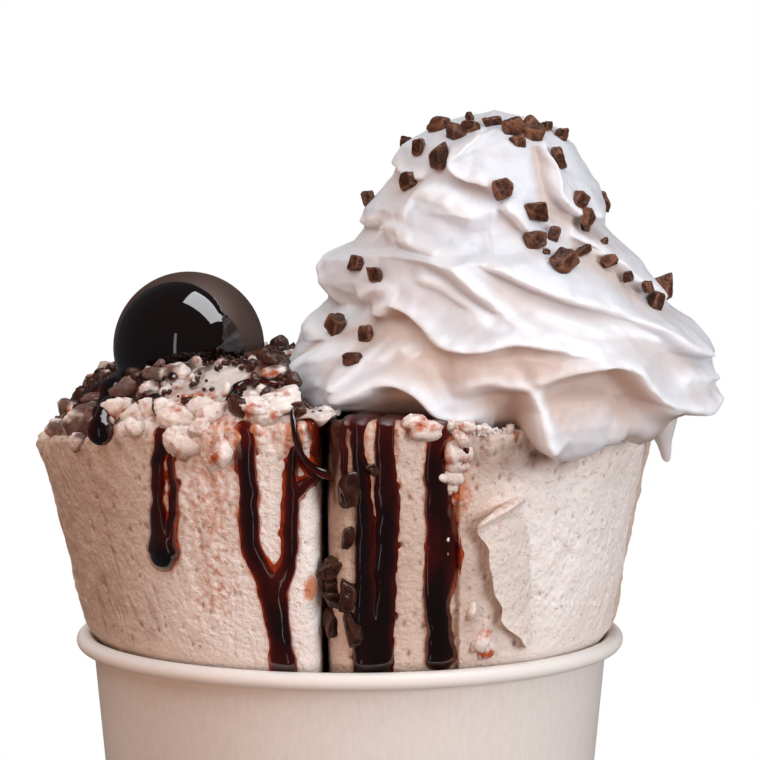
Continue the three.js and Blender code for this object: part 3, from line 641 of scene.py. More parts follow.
def reliefOn(name, grid, angle, tilt):
    # the relief moves points out from the roll's own axis on its wall and up on its top
    relief, deep = rollRelief(name, grid)
    relief = relief * smoothStep(0.5, 3, grid[..., 2] - cup["height"])
    below = topHeight(grid[..., 0]) - grid[..., 2]
    nearTop = smoothStep(6, 0, below) * (1 - tilt[:, None])
    crumbs = noise(grid, (1.9, 1.9, 2.4), 77) + 0.6 * noise(grid, 1.0, 78)
    relief = relief + rollFinish["crumble"] * 0.5 * crumbs * nearTop
    melted = np.maximum(noise(grid, (1.8, 1.8, 9), 97), 0) * smoothStep(9, 2, below)
    relief = relief + rollFinish["melted"] * melted * (1 - tilt[:, None])
    relief[0] = relief[-1] = relief[-1].mean()
    out = np.stack([
        np.cos(angle) * (1 - tilt[:, None]),
        np.sin(angle) * (1 - tilt[:, None]),
        np.broadcast_to(tilt[:, None], relief.shape),
    ], -1)
    relief[0] = 0
    return grid + out * relief[..., None], deep


def buildRoll(name):
    capRows = rollFinish["backCapRows"] if name == "back" else rollFinish["capRows"]
    grid, angle, tilt, groove = rollGrid(name, capRows)
    grid, deep = reliefOn(name, grid, angle, tilt)
    x, above = grid[..., 0], grid[..., 2] - cup["height"]
    front = grid[..., 1] < rolls[name]["centre"][1]
    stain = np.where(front, patchAmount(stainPatches[name], x, above), 0.12)
    stain = stain + 0.34 * sauceHalo(name, x, above) * front
    # painted shade: darker in the pits, streaks and the coiled top's groove, and over the shade patches
    shade = 0.5 * deep * smoothStep(0.5, 3, above) + 0.75 * groove
    shade = shade + patchAmount(shadePatches[name], x, above) * front * (1 + 0.5 * noise(grid, 2.2, 98))
    pale = np.clip(patchAmount(palePatches[name], x, above), 0, 1) * front
    soaked = patchAmount(soakedPatches[name], x, above) * front * (1 + 0.6 * noise(grid, (1.6, 1.6, 3), 99))
    soaked = smoothStep(0.25, 0.7, soaked)
    values = {"stain": stain, "shade": np.clip(shade, 0, 1), "pale": pale, "wet": soaked}
    closedPiece(f"roll_{name}_ice", grid, iceMaterial, values, [f"roll_{name}"])


def frontPoint(name, x, above, lift):
    # the roll's front at x and a height above the rim, lifted off its face; the angle is found by halving
    section = rolls[name]
    cx, cy = section["centre"]
    x, above, lift = np.broadcast_arrays(x, above, lift)
    height = above + cup["height"]
    low, high = np.full(x.shape, -np.pi), np.zeros(x.shape)
    for _ in range(26):
        middle = (low + high) / 2
        left = cx + sectionRadius(section, middle, height) * np.cos(middle) < x
        low, high = np.where(left, middle, low), np.where(left, high, middle)
    angle = (low + high) / 2
    radius = sectionRadius(section, angle, height)
    points = np.stack([cx + radius * np.cos(angle), cy + radius * np.sin(angle), height], -1)
    broad = 0.3 * noise(points, 12, 11 * list(rolls).index(name))
    radius = radius + lift + broad * smoothStep(0.5, 3, above)
    return np.stack([cx + radius * np.cos(angle), cy + radius * np.sin(angle), height], -1)


def overEdge(name, x, along, lift):
    # up the roll's front, round its edge and in over its top: what is left of the length past the face goes
    # round the edge's quarter ellipse, and then inwards
    edge = topHeight(x) - cup["height"] - rollShape["edgeDrop"]
    past = np.maximum(along - edge, 0)
    bend = np.minimum(past / rollShape["edgeArc"], 1) * np.pi / 2
    inset = rollShape["edgeInset"] * (1 - np.cos(bend)) + np.maximum(past - rollShape["edgeArc"], 0)
    face = frontPoint(name, x, np.minimum(along, edge), 0.0)
    out = frontPoint(name, x, np.minimum(along, edge), 1.0) - face
    up = rollShape["edgeDrop"] * np.sin(bend) + lift * np.sin(bend)
    points = face + out * (lift * np.cos(bend) - inset)[..., None]
    points[..., 2] += up
    return points


# Sauce on the front rolls. Each run: x, height above the rim, half width and thickness, top to bottom;
# heights past the roll's edge lead in over its top
sauceRuns = {
    "left": [
        [(-30.8, 43.5, 1.9, 0.4), (-30.9, 38, 1.3, 0.9), (-31.7, 33, 1.1, 1.2), (-31.7, 26, 1.25, 1.5),
         (-31.2, 22.4, 1.9, 2.0), (-31.0, 19.7, 2.7, 2.7), (-31.0, 18.6, 2.5, 2.5)],
        [(-29.2, 37, 0.4, 0.5), (-29.1, 32, 0.7, 1.0), (-29.3, 26, 0.8, 1.3), (-29.9, 21, 1.2, 1.6)],
        [(-16.6, 42.5, 1.4, 0.5), (-16.5, 38, 1.55, 0.9), (-16.1, 29, 1.6, 1.0), (-15.9, 21, 1.7, 0.9),
         (-14.0, 17, 1.9, 0.7), (-12.5, 13.5, 2.2, 0.9), (-11.5, 7, 2.0, 1.2), (-10.5, -0.6, 2.2, 1.2)],
        [(-8.6, 42, 0.8, 0.6), (-9.2, 36, 0.9, 0.9), (-9.3, 30, 1.2, 1.0), (-9.3, 22, 1.35, 1.0),
         (-10.2, 18, 1.4, 0.8), (-11.8, 14, 1.6, 0.8)],
        [(-8.6, 40.5, 0.7, 1.0), (-7.6, 37, 0.75, 1.2), (-5.6, 33.8, 0.7, 1.1), (-4.9, 33, 0.6, 0.9)],
        [(-5.2, 33, 0.6, 0.8), (-7.2, 32.2, 1.0, 0.8), (-8.8, 30.6, 1.2, 0.9)],
        [(-5.4, 45, 1.2, 0.6), (-5.2, 41, 0.9, 0.7), (-4.9, 36, 0.7, 0.6), (-4.9, 33.6, 0.5, 0.4)],
    ],
    "right": [
        [(0.2, 52, 3.2, 0.5), (1.4, 47, 2.0, 0.5), (1.8, 42, 1.3, 0.6), (2.0, 37, 1.3, 0.9),
         (2.9, 29, 1.4, 1.0), (2.9, 20, 1.6, 1.0), (2.9, 12, 1.7, 1.1),
         (3.4, 6, 2.3, 1.2), (4.0, -0.6, 2.8, 1.2)],
        [(7.4, 52, 3.6, 0.5), (6.6, 47, 2.3, 0.5), (6.2, 43, 1.5, 0.6), (6.3, 36, 1.7, 0.9),
         (6.8, 28, 1.9, 1.0), (6.6, 20, 1.8, 1.0), (6.2, 14, 1.7, 1.0),
         (5.8, 6, 1.8, 1.1), (5.2, -0.6, 2.6, 1.2)],
        [(17.4, 50, 3.6, 0.5), (16.2, 46, 2.8, 0.5), (15.4, 41.5, 2.4, 0.7), (14.6, 38.5, 1.6, 0.8),
         (14.7, 34, 1.9, 1.1), (15.6, 25, 2.4, 1.0),
         (15.9, 20, 2.9, 0.8), (15.3, 15, 2.6, 1.2), (15.1, 10, 2.0, 1.5), (15.5, 5, 2.2, 1.6),
         (15.6, 1.8, 2.5, 1.5)],
        [(14, 42.6, 0.9, 0.9), (17, 43.2, 1.1, 1.0), (20, 43.2, 0.7, 0.6)],
        [(-0.6, 46, 0.7, 0.5), (-0.7, 41, 0.6, 0.6), (-0.6, 36, 0.5, 0.6), (-0.5, 33.4, 0.4, 0.4)],
        [(18.6, 39, 0.6, 0.6), (19.6, 36.6, 0.6, 0.6), (19.2, 34.8, 0.5, 0.5)],
    ],
    "back": [],
}
sauceFinish = {
    "step": 0.24, "merge": 0.22, "waver": 0.3, "below": -0.45, "floor": -1.6, "top": 51, "wall": 0.4,
    "redness": [(-40, 1), (-12, 1), (-4, 0.9), (1, 0.35), (8, 0.4), (10, 0.9), (30, 1)],
}


def sauceDepth(name, x, above):
    # each run is a bead, thick in its middle and falling off to its half width; the runs melt together
    where = np.stack([x, above, np.zeros_like(x)], -1)
    x = x + sauceFinish["waver"] * noise(where, 2.2, 51)
    total = np.zeros_like(x)
    for run in sauceRuns[name]:
        line = curveThrough(run, 60)
        distance, _, share = nearestOnLine(line, x, above)
        half = np.interp(share, np.linspace(0, 1, len(line)), line[:, 2])
        thick = np.interp(share, np.linspace(0, 1, len(line)), line[:, 3])
        out = distance / half
        bead = thick * np.maximum(1 - out**2, 0) ** 0.62 - 0.9 * np.maximum(distance - half, 0)
        total += np.exp(np.maximum(bead, sauceFinish["floor"]) / sauceFinish["merge"])
    return np.maximum(sauceFinish["merge"] * np.log(np.maximum(total, 1e-9)), sauceFinish["floor"])


def sauceHalo(name, x, above):
    # stained ice cream along the sauce's edge: strongest where the sauce ends, gone a millimetre away
    if not sauceRuns[name]:
        return np.zeros_like(x)
    return np.exp(-((np.minimum(sauceDepth(name, x, above), 0) / 0.5) ** 2))


def buildSauce(name, lowX, highX):
    # a sheet over the roll's front, lifted by the sauce's depth, kept where the sauce is or just under
    x = np.arange(lowX, highX, sauceFinish["step"])
    above = np.arange(-0.6, sauceFinish["top"], sauceFinish["step"])
    x, above = np.meshgrid(x, above)
    depth = sauceDepth(name, x, above)
    points = overEdge(name, x, above, np.maximum(depth, sauceFinish["below"]) + 0.12)
    index = np.arange(x.size).reshape(x.shape)
    quads = np.stack([index[:-1, :-1], index[:-1, 1:], index[1:, 1:], index[1:, :-1]], -1).reshape(-1, 4)
    quads = quads[(depth.ravel()[quads] > sauceFinish["below"]).any(axis=1)]
    used, compact = np.unique(quads, return_inverse=True)
    where = np.stack([x, above, 0 * x], -1)
    thin = np.exp(-(np.maximum(depth, 0) / 0.5) ** 1.5) * (1 + 0.2 * noise(where, 1.3, 53))
    thin = thin + 0.3 * smoothStep(36, 42, above) * smoothStep(46, 43, above)
    thin = thin + 0.16 * smoothStep(0.1, 0.7, noise(where, (3, 8, 1), 54))
    redness = np.interp(x, *np.array(sauceFinish["redness"]).T)
    thin = np.clip(thin * redness, 0, 1).ravel()[used]
    dull = (smoothStep(41.5, 43, above) * smoothStep(-1.6, 0, x)).ravel()[used]
    piece = meshPiece(f"sauce_{name}", points.reshape(-1, 3)[used], [compact.reshape(-1, 4)], sauceMaterial,
                      {"thin": thin, "dull": dull})
    wall = piece.modifiers.new("body", "SOLIDIFY")
    wall.thickness = sauceFinish["wall"] * metre
    wall.offset = -1
    return piece


for rollName in rolls:
    buildRoll(rollName)
buildSauce("left", -46, -4.6)
buildSauce("right", -1.5, 34)
print("rolls and sauce done")


# Lumps: many uneven rounded shapes in one mesh
def unitGrid(rows, turns):
    # directions over a ball, a pole at each end
    polar = np.linspace(-np.pi / 2, np.pi / 2, rows)[:, None]
    angle = np.linspace(0, 2 * np.pi, turns, endpoint=False)
    ring = np.cos(polar)
    grid = np.stack([ring * np.cos(angle), ring * np.sin(angle), np.sin(polar) + 0 * angle], -1)
    return grid


def turnMatrices(angles):
    # turns about Z, then X, then Y, for rows of three angles
    turns = []
    for column, (first, second) in enumerate(((0, 1), (1, 2), (2, 0))):
        turn = np.tile(np.eye(3), (len(angles), 1, 1))
        turn[:, first, first] = turn[:, second, second] = np.cos(angles[:, column])
        turn[:, first, second] = -np.sin(angles[:, column])
        turn[:, second, first] = np.sin(angles[:, column])
        turns.append(turn)
    return turns[2] @ turns[1] @ turns[0]


# Thin sauce over the heap's lumps: middle x, y, half widths, amount
filmPatches = [(-43, -20, 10, 10, 1.2), (-35, -29, 9, 7, 1.15), (-15, -30, 6, 8, 0.9), (-11, -43, 4, 7, 0.9),
               (-30, 14, 16, 12, 0.7), (-48, -2, 6, 12, 0.8)]


def sauceFilm(points):
    # the film's mask: its patches with a ragged outline
    amount = flatPatches(filmPatches, points)
    ragged = 0.7 * noise(points, (3.4, 3.4, 2.6), 95) + 0.35 * noise(points, 1.3, 96)
    return 0.9 * smoothStep(0.05, 0.55, 0.95 * amount + ragged - 0.12) * smoothStep(0.1, 0.3, amount)


def buildLumps(name, places, sizes, material, slot, rows=12, turns=16, sharpness=9, uneven=0.08, seed=1,
               angles=None, frames=None, boxy=1.0, fine=0.0):
    # each lump is the soft least of its flat cuts: six of a box and some slanted ones; noise dents it,
    # and it is scaled, turned and set in its place
    places, sizes = np.asarray(places, float), np.asarray(sizes, float)
    count = len(places)
    draw = np.random.default_rng(seed)
    directions = closedRows(unitGrid(rows, turns))
    box = np.concatenate([np.eye(3), -np.eye(3)])[None] + 0.16 * draw.normal(size=(count, 6, 3))
    slanted = draw.normal(size=(count, 7, 3))
    cuts = np.concatenate([box, slanted], axis=1)
    cuts = cuts / np.linalg.norm(cuts, axis=-1, keepdims=True)
    reach = np.concatenate([0.82 + 0.3 * draw.random((count, 6)) + 0.5 * (1 - boxy),
                            0.9 + 0.35 * draw.random((count, 7))], axis=1)
    facing = np.einsum("ncj,mj->nmc", cuts, directions) / reach[:, None]
    terms = np.maximum(facing, 0) ** sharpness
    total = terms.sum(axis=-1)
    radius = total ** (-1 / sharpness)
    edge = 1 - ((terms / total[..., None]) ** 2).sum(axis=-1)
    if angles is None:
        angles = draw.random((count, 3)) * 2 * np.pi
    turned = turnMatrices(np.asarray(angles, float))
    if frames is not None:
        turned = frames @ turned
    where = directions * 1.6 + draw.random((count, 1, 3)) * 400
    dents = noise(where, 0.9, seed) + 0.6 * noise(where, 0.4, seed + 1) + fine * noise(where, 0.2, seed + 4)
    radius = radius * (1 + uneven * dents)
    local = directions * radius[..., None] * sizes[:, None] / 2
    points = np.einsum("nij,nmj->nmi", turned, local) + places[:, None]
    stride = (np.arange(count) * len(directions))[:, None, None]
    allFaces = [(part[None] + stride).reshape(-1, part.shape[1]) for part in closedFaces(rows, turns)]
    attributes = {
        "edge": np.clip(2.2 * edge - 0.35, 0, 1) * (0.6 + 0.4 * noise(points, 0.9, seed + 2)),
        "stain": 0.5 * noise(points, 2.0, seed + 3) + 0.12,
        # painted shade: darker towards each lump's underside
        "shade": 0.5 * smoothStep(0.1, -1.0, (points[..., 2] - places[:, None, 2]) / sizes[:, None, 2] * 2),
        "pale": 0.65 + 0 * edge,
        "wet": sauceFilm(points),
    }
    return meshPiece(name, points.reshape(-1, 3), allFaces, material, attributes)


# Chocolate pieces caught between the front rolls: x, height above the rim, width, height, depth
groovePieces = [
    (0.5, 31.3, 3.9, 6.2, 3.4), (0.1, 23.4, 2.4, 3.9, 2.4), (-2.2, 18.1, 4.4, 3.6, 3.2),
    (-2.4, 14.6, 2.6, 3.6, 2.4),
    (-2.0, 12.2, 2.9, 3.4, 2.6), (0.3, 13.4, 2.9, 5.2, 2.6), (-4.2, 11.3, 2.5, 3.4, 2.2),
    (-2.7, 8.1, 3.0, 4.2, 2.6),
    (0.7, 7.9, 2.6, 4.6, 2.4), (4.3, 34.8, 1.9, 2.1, 1.6),
]


def buildGroove():
    x, above, width, height, depth = np.array(groovePieces).T
    places = frontPoint("right", np.maximum(x, -3.2), above, 0.5)
    places[:, 0] = x
    sizes = np.stack([width, depth, height], -1)
    draw = np.random.default_rng(14)
    angles = (draw.random((len(x), 3)) - 0.5) * 0.7
    buildLumps("groove_pieces", places, sizes * 0.9, grooveMaterial, "chocolate", 26, 36, 6, 0.16, 14,
               angles, boxy=0.6)


buildGroove()


# White and stained ice-cream lumps pressed on the front rolls: roll, x, height, width, depth, height of it
frontLumps = [
    ("left", -27.4, 39.0, 4.6, 2.8, 5.6), ("left", -19.9, 37.9, 2.6, 2.2, 4.4),
    ("left", -45.9, 37.2, 3.2, 2.2, 3.0),
    ("left", -24.6, 41.4, 3.4, 2.6, 3.2), ("left", -35.5, 40.2, 3.0, 2.2, 3.4),
    ("left", -22.2, 35.8, 1.8, 1.4, 2.6),
    ("right", 12.4, 41.8, 5.0, 3, 3.2), ("right", 10.6, 42.4, 4, 2.4, 2.2),
    ("right", 14.0, 40.8, 2.6, 2, 2.4),
    ("right", 18.6, 40.2, 2.2, 2.0, 3.0), ("right", 18.0, 38.2, 3.6, 2.4, 4.6),
    ("right", 18.3, 36.0, 3.4, 2.4, 4.6),
    ("right", 17.6, 33.8, 3.2, 2.2, 3.6), ("right", 15.9, 33.2, 2.4, 1.8, 2.0),
    ("right", 17.4, 31.6, 2.2, 1.6, 3.2),
    ("right", 18.2, 29.6, 1.6, 1.3, 2.4), ("right", 19.0, 28.8, 1.2, 1.0, 1.2),
    ("right", 19.4, 41.6, 2.4, 1.8, 1.8),
    ("right", 16.2, 22.0, 1.0, 0.8, 1.8), ("right", 16.4, 19.6, 1.0, 0.8, 1.6),
    ("right", 15.7, 20.7, 0.8, 0.7, 1.0),
    ("right", 22.6, 5.4, 2.6, 1.2, 4.8), ("right", 23.4, 2.8, 2.4, 1.2, 3.0),
    ("right", 20.6, 10.2, 1.2, 0.8, 3.0),
]


def buildFrontLumps():
    places, sizes = [], []
    for rollName in ("left", "right"):
        rows = np.array([row[1:] for row in frontLumps if row[0] == rollName])
        places.append(frontPoint(rollName, rows[:, 0], rows[:, 1], 0.25))
        sizes.append(rows[:, 2:])
    draw = np.random.default_rng(5)
    angles = (draw.random((sum(map(len, places)), 3)) - 0.5) * 0.9
    buildLumps("front_lumps", np.vstack(places), np.vstack(sizes) * 1.1, lumpMaterial, "ice_cream", 30, 40,
               2.7, 0.15, 6, angles, boxy=0.3, fine=0.5)


buildFrontLumps()


# Torn flake on the right roll: x, height above the rim, half width, from top to bottom
flake = {
    "rows": [(25.3, 27.9, 4.4), (25.9, 25.4, 4.3), (26.9, 22, 3.8), (27.3, 16, 3.6), (27.8, 12, 3.3),
             (28.4, 8.2, 2.8), (29.8, 4.6, 1.7), (30.4, 2.4, 0.8)],
    "slant": 0.5, "lift": 2.0, "thickness": 1.3, "steps": 130, "sides": 72,
}


def buildFlake():
    # a plate carried down its rows: its left side stands off the roll, its right side sinks in, and its
    # top edge climbs to the right
    line = curveThrough(flake["rows"], flake["steps"])[::-1]
    angle = -np.linspace(0, 2 * np.pi, flake["sides"], endpoint=False)
    across = np.sign(np.cos(angle)) * np.abs(np.cos(angle)) ** 0.7
    share = np.linspace(0, 1, flake["steps"])[:, None]
    ends = np.sqrt(np.clip(1 - (2 * share - 1) ** 16, 0, 1))
    x = line[:, :1] + line[:, 2:] * across * ends
    above = line[:, 1:2] + flake["slant"] * (x - line[:, :1]) * smoothStep(0.4, 1, share)
    where = np.stack([x, above, 0 * x], -1)
    x = x + 0.5 * noise(where, 2.6, 61) * np.abs(across)
    thick = flake["thickness"] * (0.55 + 1.1 * smoothStep(0.84, 0.97, share)) * ends
    curl = 0.5 * np.maximum(-across - 0.55, 0)
    lift = flake["lift"] * (0.42 - 0.6 * across) + curl + thick * np.sin(-angle) * 0.5
    lift = lift + 0.2 * noise(where, 1.7, 62) + 0.1 * noise(where, 0.8, 63)
    lift = lift + 1.1 * np.exp(-(((share - 0.95) / 0.04) ** 2)) * np.clip(np.sin(-angle) + 0.4, 0, 1)
    points = frontPoint("right", x, above, lift)
    points[0] = points[0].mean(axis=0)
    points[-1] = points[-1].mean(axis=0)
    stain = 0.1 * np.exp(-(((above - 28) / 1.6) ** 2)) + 0.12
    closedPiece("torn_flake", points, iceMaterial, {"stain": stain, "shade": 0, "pale": 0.5})


buildFlake()
print("groove, lumps and flake done")


# Crumble heap
heap = {
    "rise": 8.2, "riseUneven": 0.6, "shoulder": 15, "dipRight": (-15, -5), "dipFront": (10, 24), "dip": 0.9,
    "turns": 560, "rows": 165, "lumpSize": 5.2, "lumpHeight": 1.4, "sink": 1.5, "sinkByBall": 1.3,
    "sinkByCream": 1.4, "backOff": 3.2,
}
# Smooth pale ice cream on the heap: middle x, y, half widths, amount
smoothPatches = [(-18.5, -38, 7.5, 12, 1.0), (-24, -24, 6, 6, 0.8)]
# Sauce lying on the heap: middle x, y, half widths, amount
saucePatches = [(-41, -24, 7, 10, 1.0), (-35, -34, 7, 5, 0.7), (-45, -6, 6, 9, 0.8), (-28, -20, 12, 6, 0.75),
                (-11, -40, 5, 9, 0.8), (-14, -8, 6, 12, 0.7), (-30, 12, 14, 8, 0.5)]


def heapEdge(angle):
    # just inside the roll's edge, and further in at the left and behind
    back = smoothStep(-0.1, 0.75, np.cos(angle - math.radians(160)))
    return sectionRadius(heapSection, angle, cup["height"] + 38) - 0.5 - heap["backOff"] * back


def heapPoint(angle, share):
    # a steep shoulder at the edge, broad lumps round it, and a dip under the cream's left lobe
    cx, cy = heapSection["centre"]
    edge = heapEdge(angle)
    x, y = cx + edge * share * np.cos(angle), cy + edge * share * np.sin(angle)
    inward = np.clip((1 - share) * edge / heap["shoulder"], 0, 1)
    rise = (heap["rise"] + heap["riseUneven"] * np.cos(angle)) * (1 - (1 - inward) ** 2)
    waves = 0.5 * np.sin(5 * angle + 9 * share) + 0.4 * np.sin(11 * angle - 14 * share)
    rise = rise + waves * np.minimum(inward * 3, 1)
    dip = heap["dip"] * smoothStep(*heap["dipRight"], x) * smoothStep(*heap["dipFront"], -y)
    return np.stack([x, y, topHeight(x) + rollShape["gap"] + 0.85 + rise * (1 - dip)], -1)


def heapAt(x, y):
    # the heap's surface over a place on the table
    cx, cy = heapSection["centre"]
    angle = np.arctan2(y - cy, x - cx)
    return heapPoint(angle, np.minimum(np.hypot(x - cx, y - cy) / heapEdge(angle), 1.02))


def heapSink(points):
    # how far the heap settles: more round the ball and beside the cream
    fromBall = np.hypot(points[..., 0] - ball["centre"][0], points[..., 1] - ball["centre"][1])
    byBall = heap["sinkByBall"] * smoothStep(25, 16, fromBall)
    byCream = smoothStep(-21, -12, points[..., 0]) * smoothStep(-40, -26, points[..., 1])
    return heap["sink"] + byBall + heap["sinkByCream"] * byCream


def heapRelief(points):
    # rounded crumbs: each cell's point carries a dome, with finer domes and grain between them; all are
    # lower on the smooth patches
    smoothness = flatPatches(smoothPatches, points)
    bent = np.stack([noise(points, 3.1, seed) for seed in (85, 86, 87)], -1)
    flat = points * np.array([1, 1, 0.7]) + 0.8 * bent
    domes = np.sqrt(np.clip(1 - (cellDistance(flat, heap["lumpSize"], 70) / 0.74) ** 2, 0, 1))
    small = np.sqrt(np.clip(1 - (cellDistance(flat, 2.3, 74) / 0.7) ** 2, 0, 1))
    rough = 1 - 0.75 * smoothness
    relief = rough * (heap["lumpHeight"] * (domes - 0.55) + 0.6 * (small - 0.4))
    relief = relief + 0.2 * noise(points, 1.1, 79) + 0.1 * noise(points, 0.6, 88)
    return relief + 0.4 * smoothness * noise(points, 5, 89)


def heapSauce(points, relief):
    # sauce fills the low places of its patches up to an uneven level
    amount = flatPatches(saucePatches, points)
    ballAway = np.hypot(points[..., 0] - ball["centre"][0], points[..., 1] - ball["centre"][1])
    puddle = smoothStep(16.8, 14.2, ballAway + 1.2 * noise(points, 3.5, 92))
    level = -1.45 + 1.7 * amount + 0.7 * noise(points, 3.0, 93) - (heapSink(points) - heap["sink"])
    fill = smoothStep(-0.12, 0.22, level - relief)
    return np.clip(np.maximum(fill * smoothStep(0.15, 0.4, amount), puddle), 0, 1), level


def buildHeap():
    # an underside just over the rolls' tops, a lip down over their rounded edge, then the mound
    shares = np.concatenate([[0, 0.35, 0.7, 0.93], [1.0] * 7, np.linspace(1, 0, heap["rows"])])[:, None]
    drops = np.array([-3.8, -3.2, -2.6, -2.0, -1.4, -0.8, -0.3])
    swells = np.array([-0.9, -0.1, 0.35, 0.6, 0.72, 0.7, 0.5])
    angle = np.linspace(0, 2 * np.pi, heap["turns"], endpoint=False)
    grid = heapPoint(angle, shares)
    under = np.arange(len(shares)) < 4
    lip = (np.arange(len(shares)) >= 4) & (np.arange(len(shares)) < 11)
    top = topHeight(grid[..., 0])
    outer = smoothStep(0.0, 0.5, np.cos(angle - math.radians(-110)))
    rim = grid[lip][:1]
    ragged = 1 + 0.55 * noise(rim * np.array([1, 1, 0]), 3.6, 94)
    ragged = ragged - 0.3 * smoothStep(-30, -44, rim[..., 0]) - 0.8 * smoothStep(-11, -7, rim[..., 0])
    grid[under, :, 2] = top[under] + rollShape["gap"] - 0.2
    grid[lip, :, 2] = top[lip] + 0.6 + drops[:, None] * (0.15 + 0.85 * outer) * ragged
    relief = heapRelief(grid) - heapSink(grid)
    sauce, level = heapSauce(grid, relief)
    relief = relief + sauce * np.clip(level - relief + 0.15, 0, 0.8)
    relief[under] = 0
    sauce[under] = 0
    relief[-1] = relief[-1].mean()
    steep = smoothStep(0.8, 1, shares) * (1 - under[:, None])
    steep[lip] = 1
    grid[..., 2] += relief * (1 - 0.7 * steep)
    out = np.stack([np.cos(angle), np.sin(angle)], -1)
    push = np.clip(0.35 * (relief + heap["sink"]), -0.3, 0.5) * steep
    bulging = swells[:, None] * (0.4 + 0.6 * outer) + 0.3 * relief[lip] + 0.5
    push[lip] = np.where(swells[:, None] > -0.5, bulging, -0.9)
    push[under] = -0.6
    grid[..., :2] += out * push[..., None]
    smoothness = flatPatches(smoothPatches, grid)
    sauce = np.maximum(sauce, sauceFilm(grid) * (1 - under[:, None]))
    stain = 0.2 + 0.4 * noise(grid, 3.2, 80) - 0.2 * smoothness
    pale = np.ones(relief.shape)
    pale[lip] = np.linspace(0, 0.8, lip.sum())[:, None]
    # painted shade: darker in the low places between the crumbs, less on the smooth patches, none under
    # sauce
    shade = smoothStep(-0.6, -1.6, relief) * 0.6 * (1 - 0.7 * smoothness) * (1 - sauce)
    shade[under] = 0
    values = {"stain": stain, "shade": shade, "wet": sauce, "pale": pale}
    closedPiece("heap_core", grid, lumpMaterial, values, ["crumble_heap"])


buildHeap()


# Whipped cream: heights above the rim and reaches along X from the cup's axis
creamReaches = np.array([
    (34, -2, 57), (38, -3.6, 59.8), (42, -6, 61.4), (45.5, -8.3, 63.4), (49.5, -9.8, 62.4),
    (52.5, -9.8, 62), (57.5, -5.8, 58.6), (60.5, -3.6, 54.8), (64.5, -4.4, 52.4), (68.5, -3.4, 49.8),
    (70, 0.4, 48), (73, 2.4, 44.8), (76.4, 2.4, 44.9), (80, 5.8, 43.6), (84, 8.4, 41), (87, 9.2, 39.4),
    (90, 14, 36.6), (92, 19.6, 30.4), (93, 25.2, 25.6),
])
creamHem = np.array([
    (-180, 45), (-140, 46), (-100, 47), (-70, 46.5), (-58, 43.4), (-48, 43.2), (-37, 43.8), (-27, 44),
    (-19, 41), (-7, 40.8), (2, 40.3), (7, 38.5), (12, 36.2), (20, 37.2), (27, 38.8), (38, 39.4),
    (46, 37), (54, 36), (62, 37), (72, 40), (90, 43.5), (115, 44.5), (145, 44), (180, 45),
])
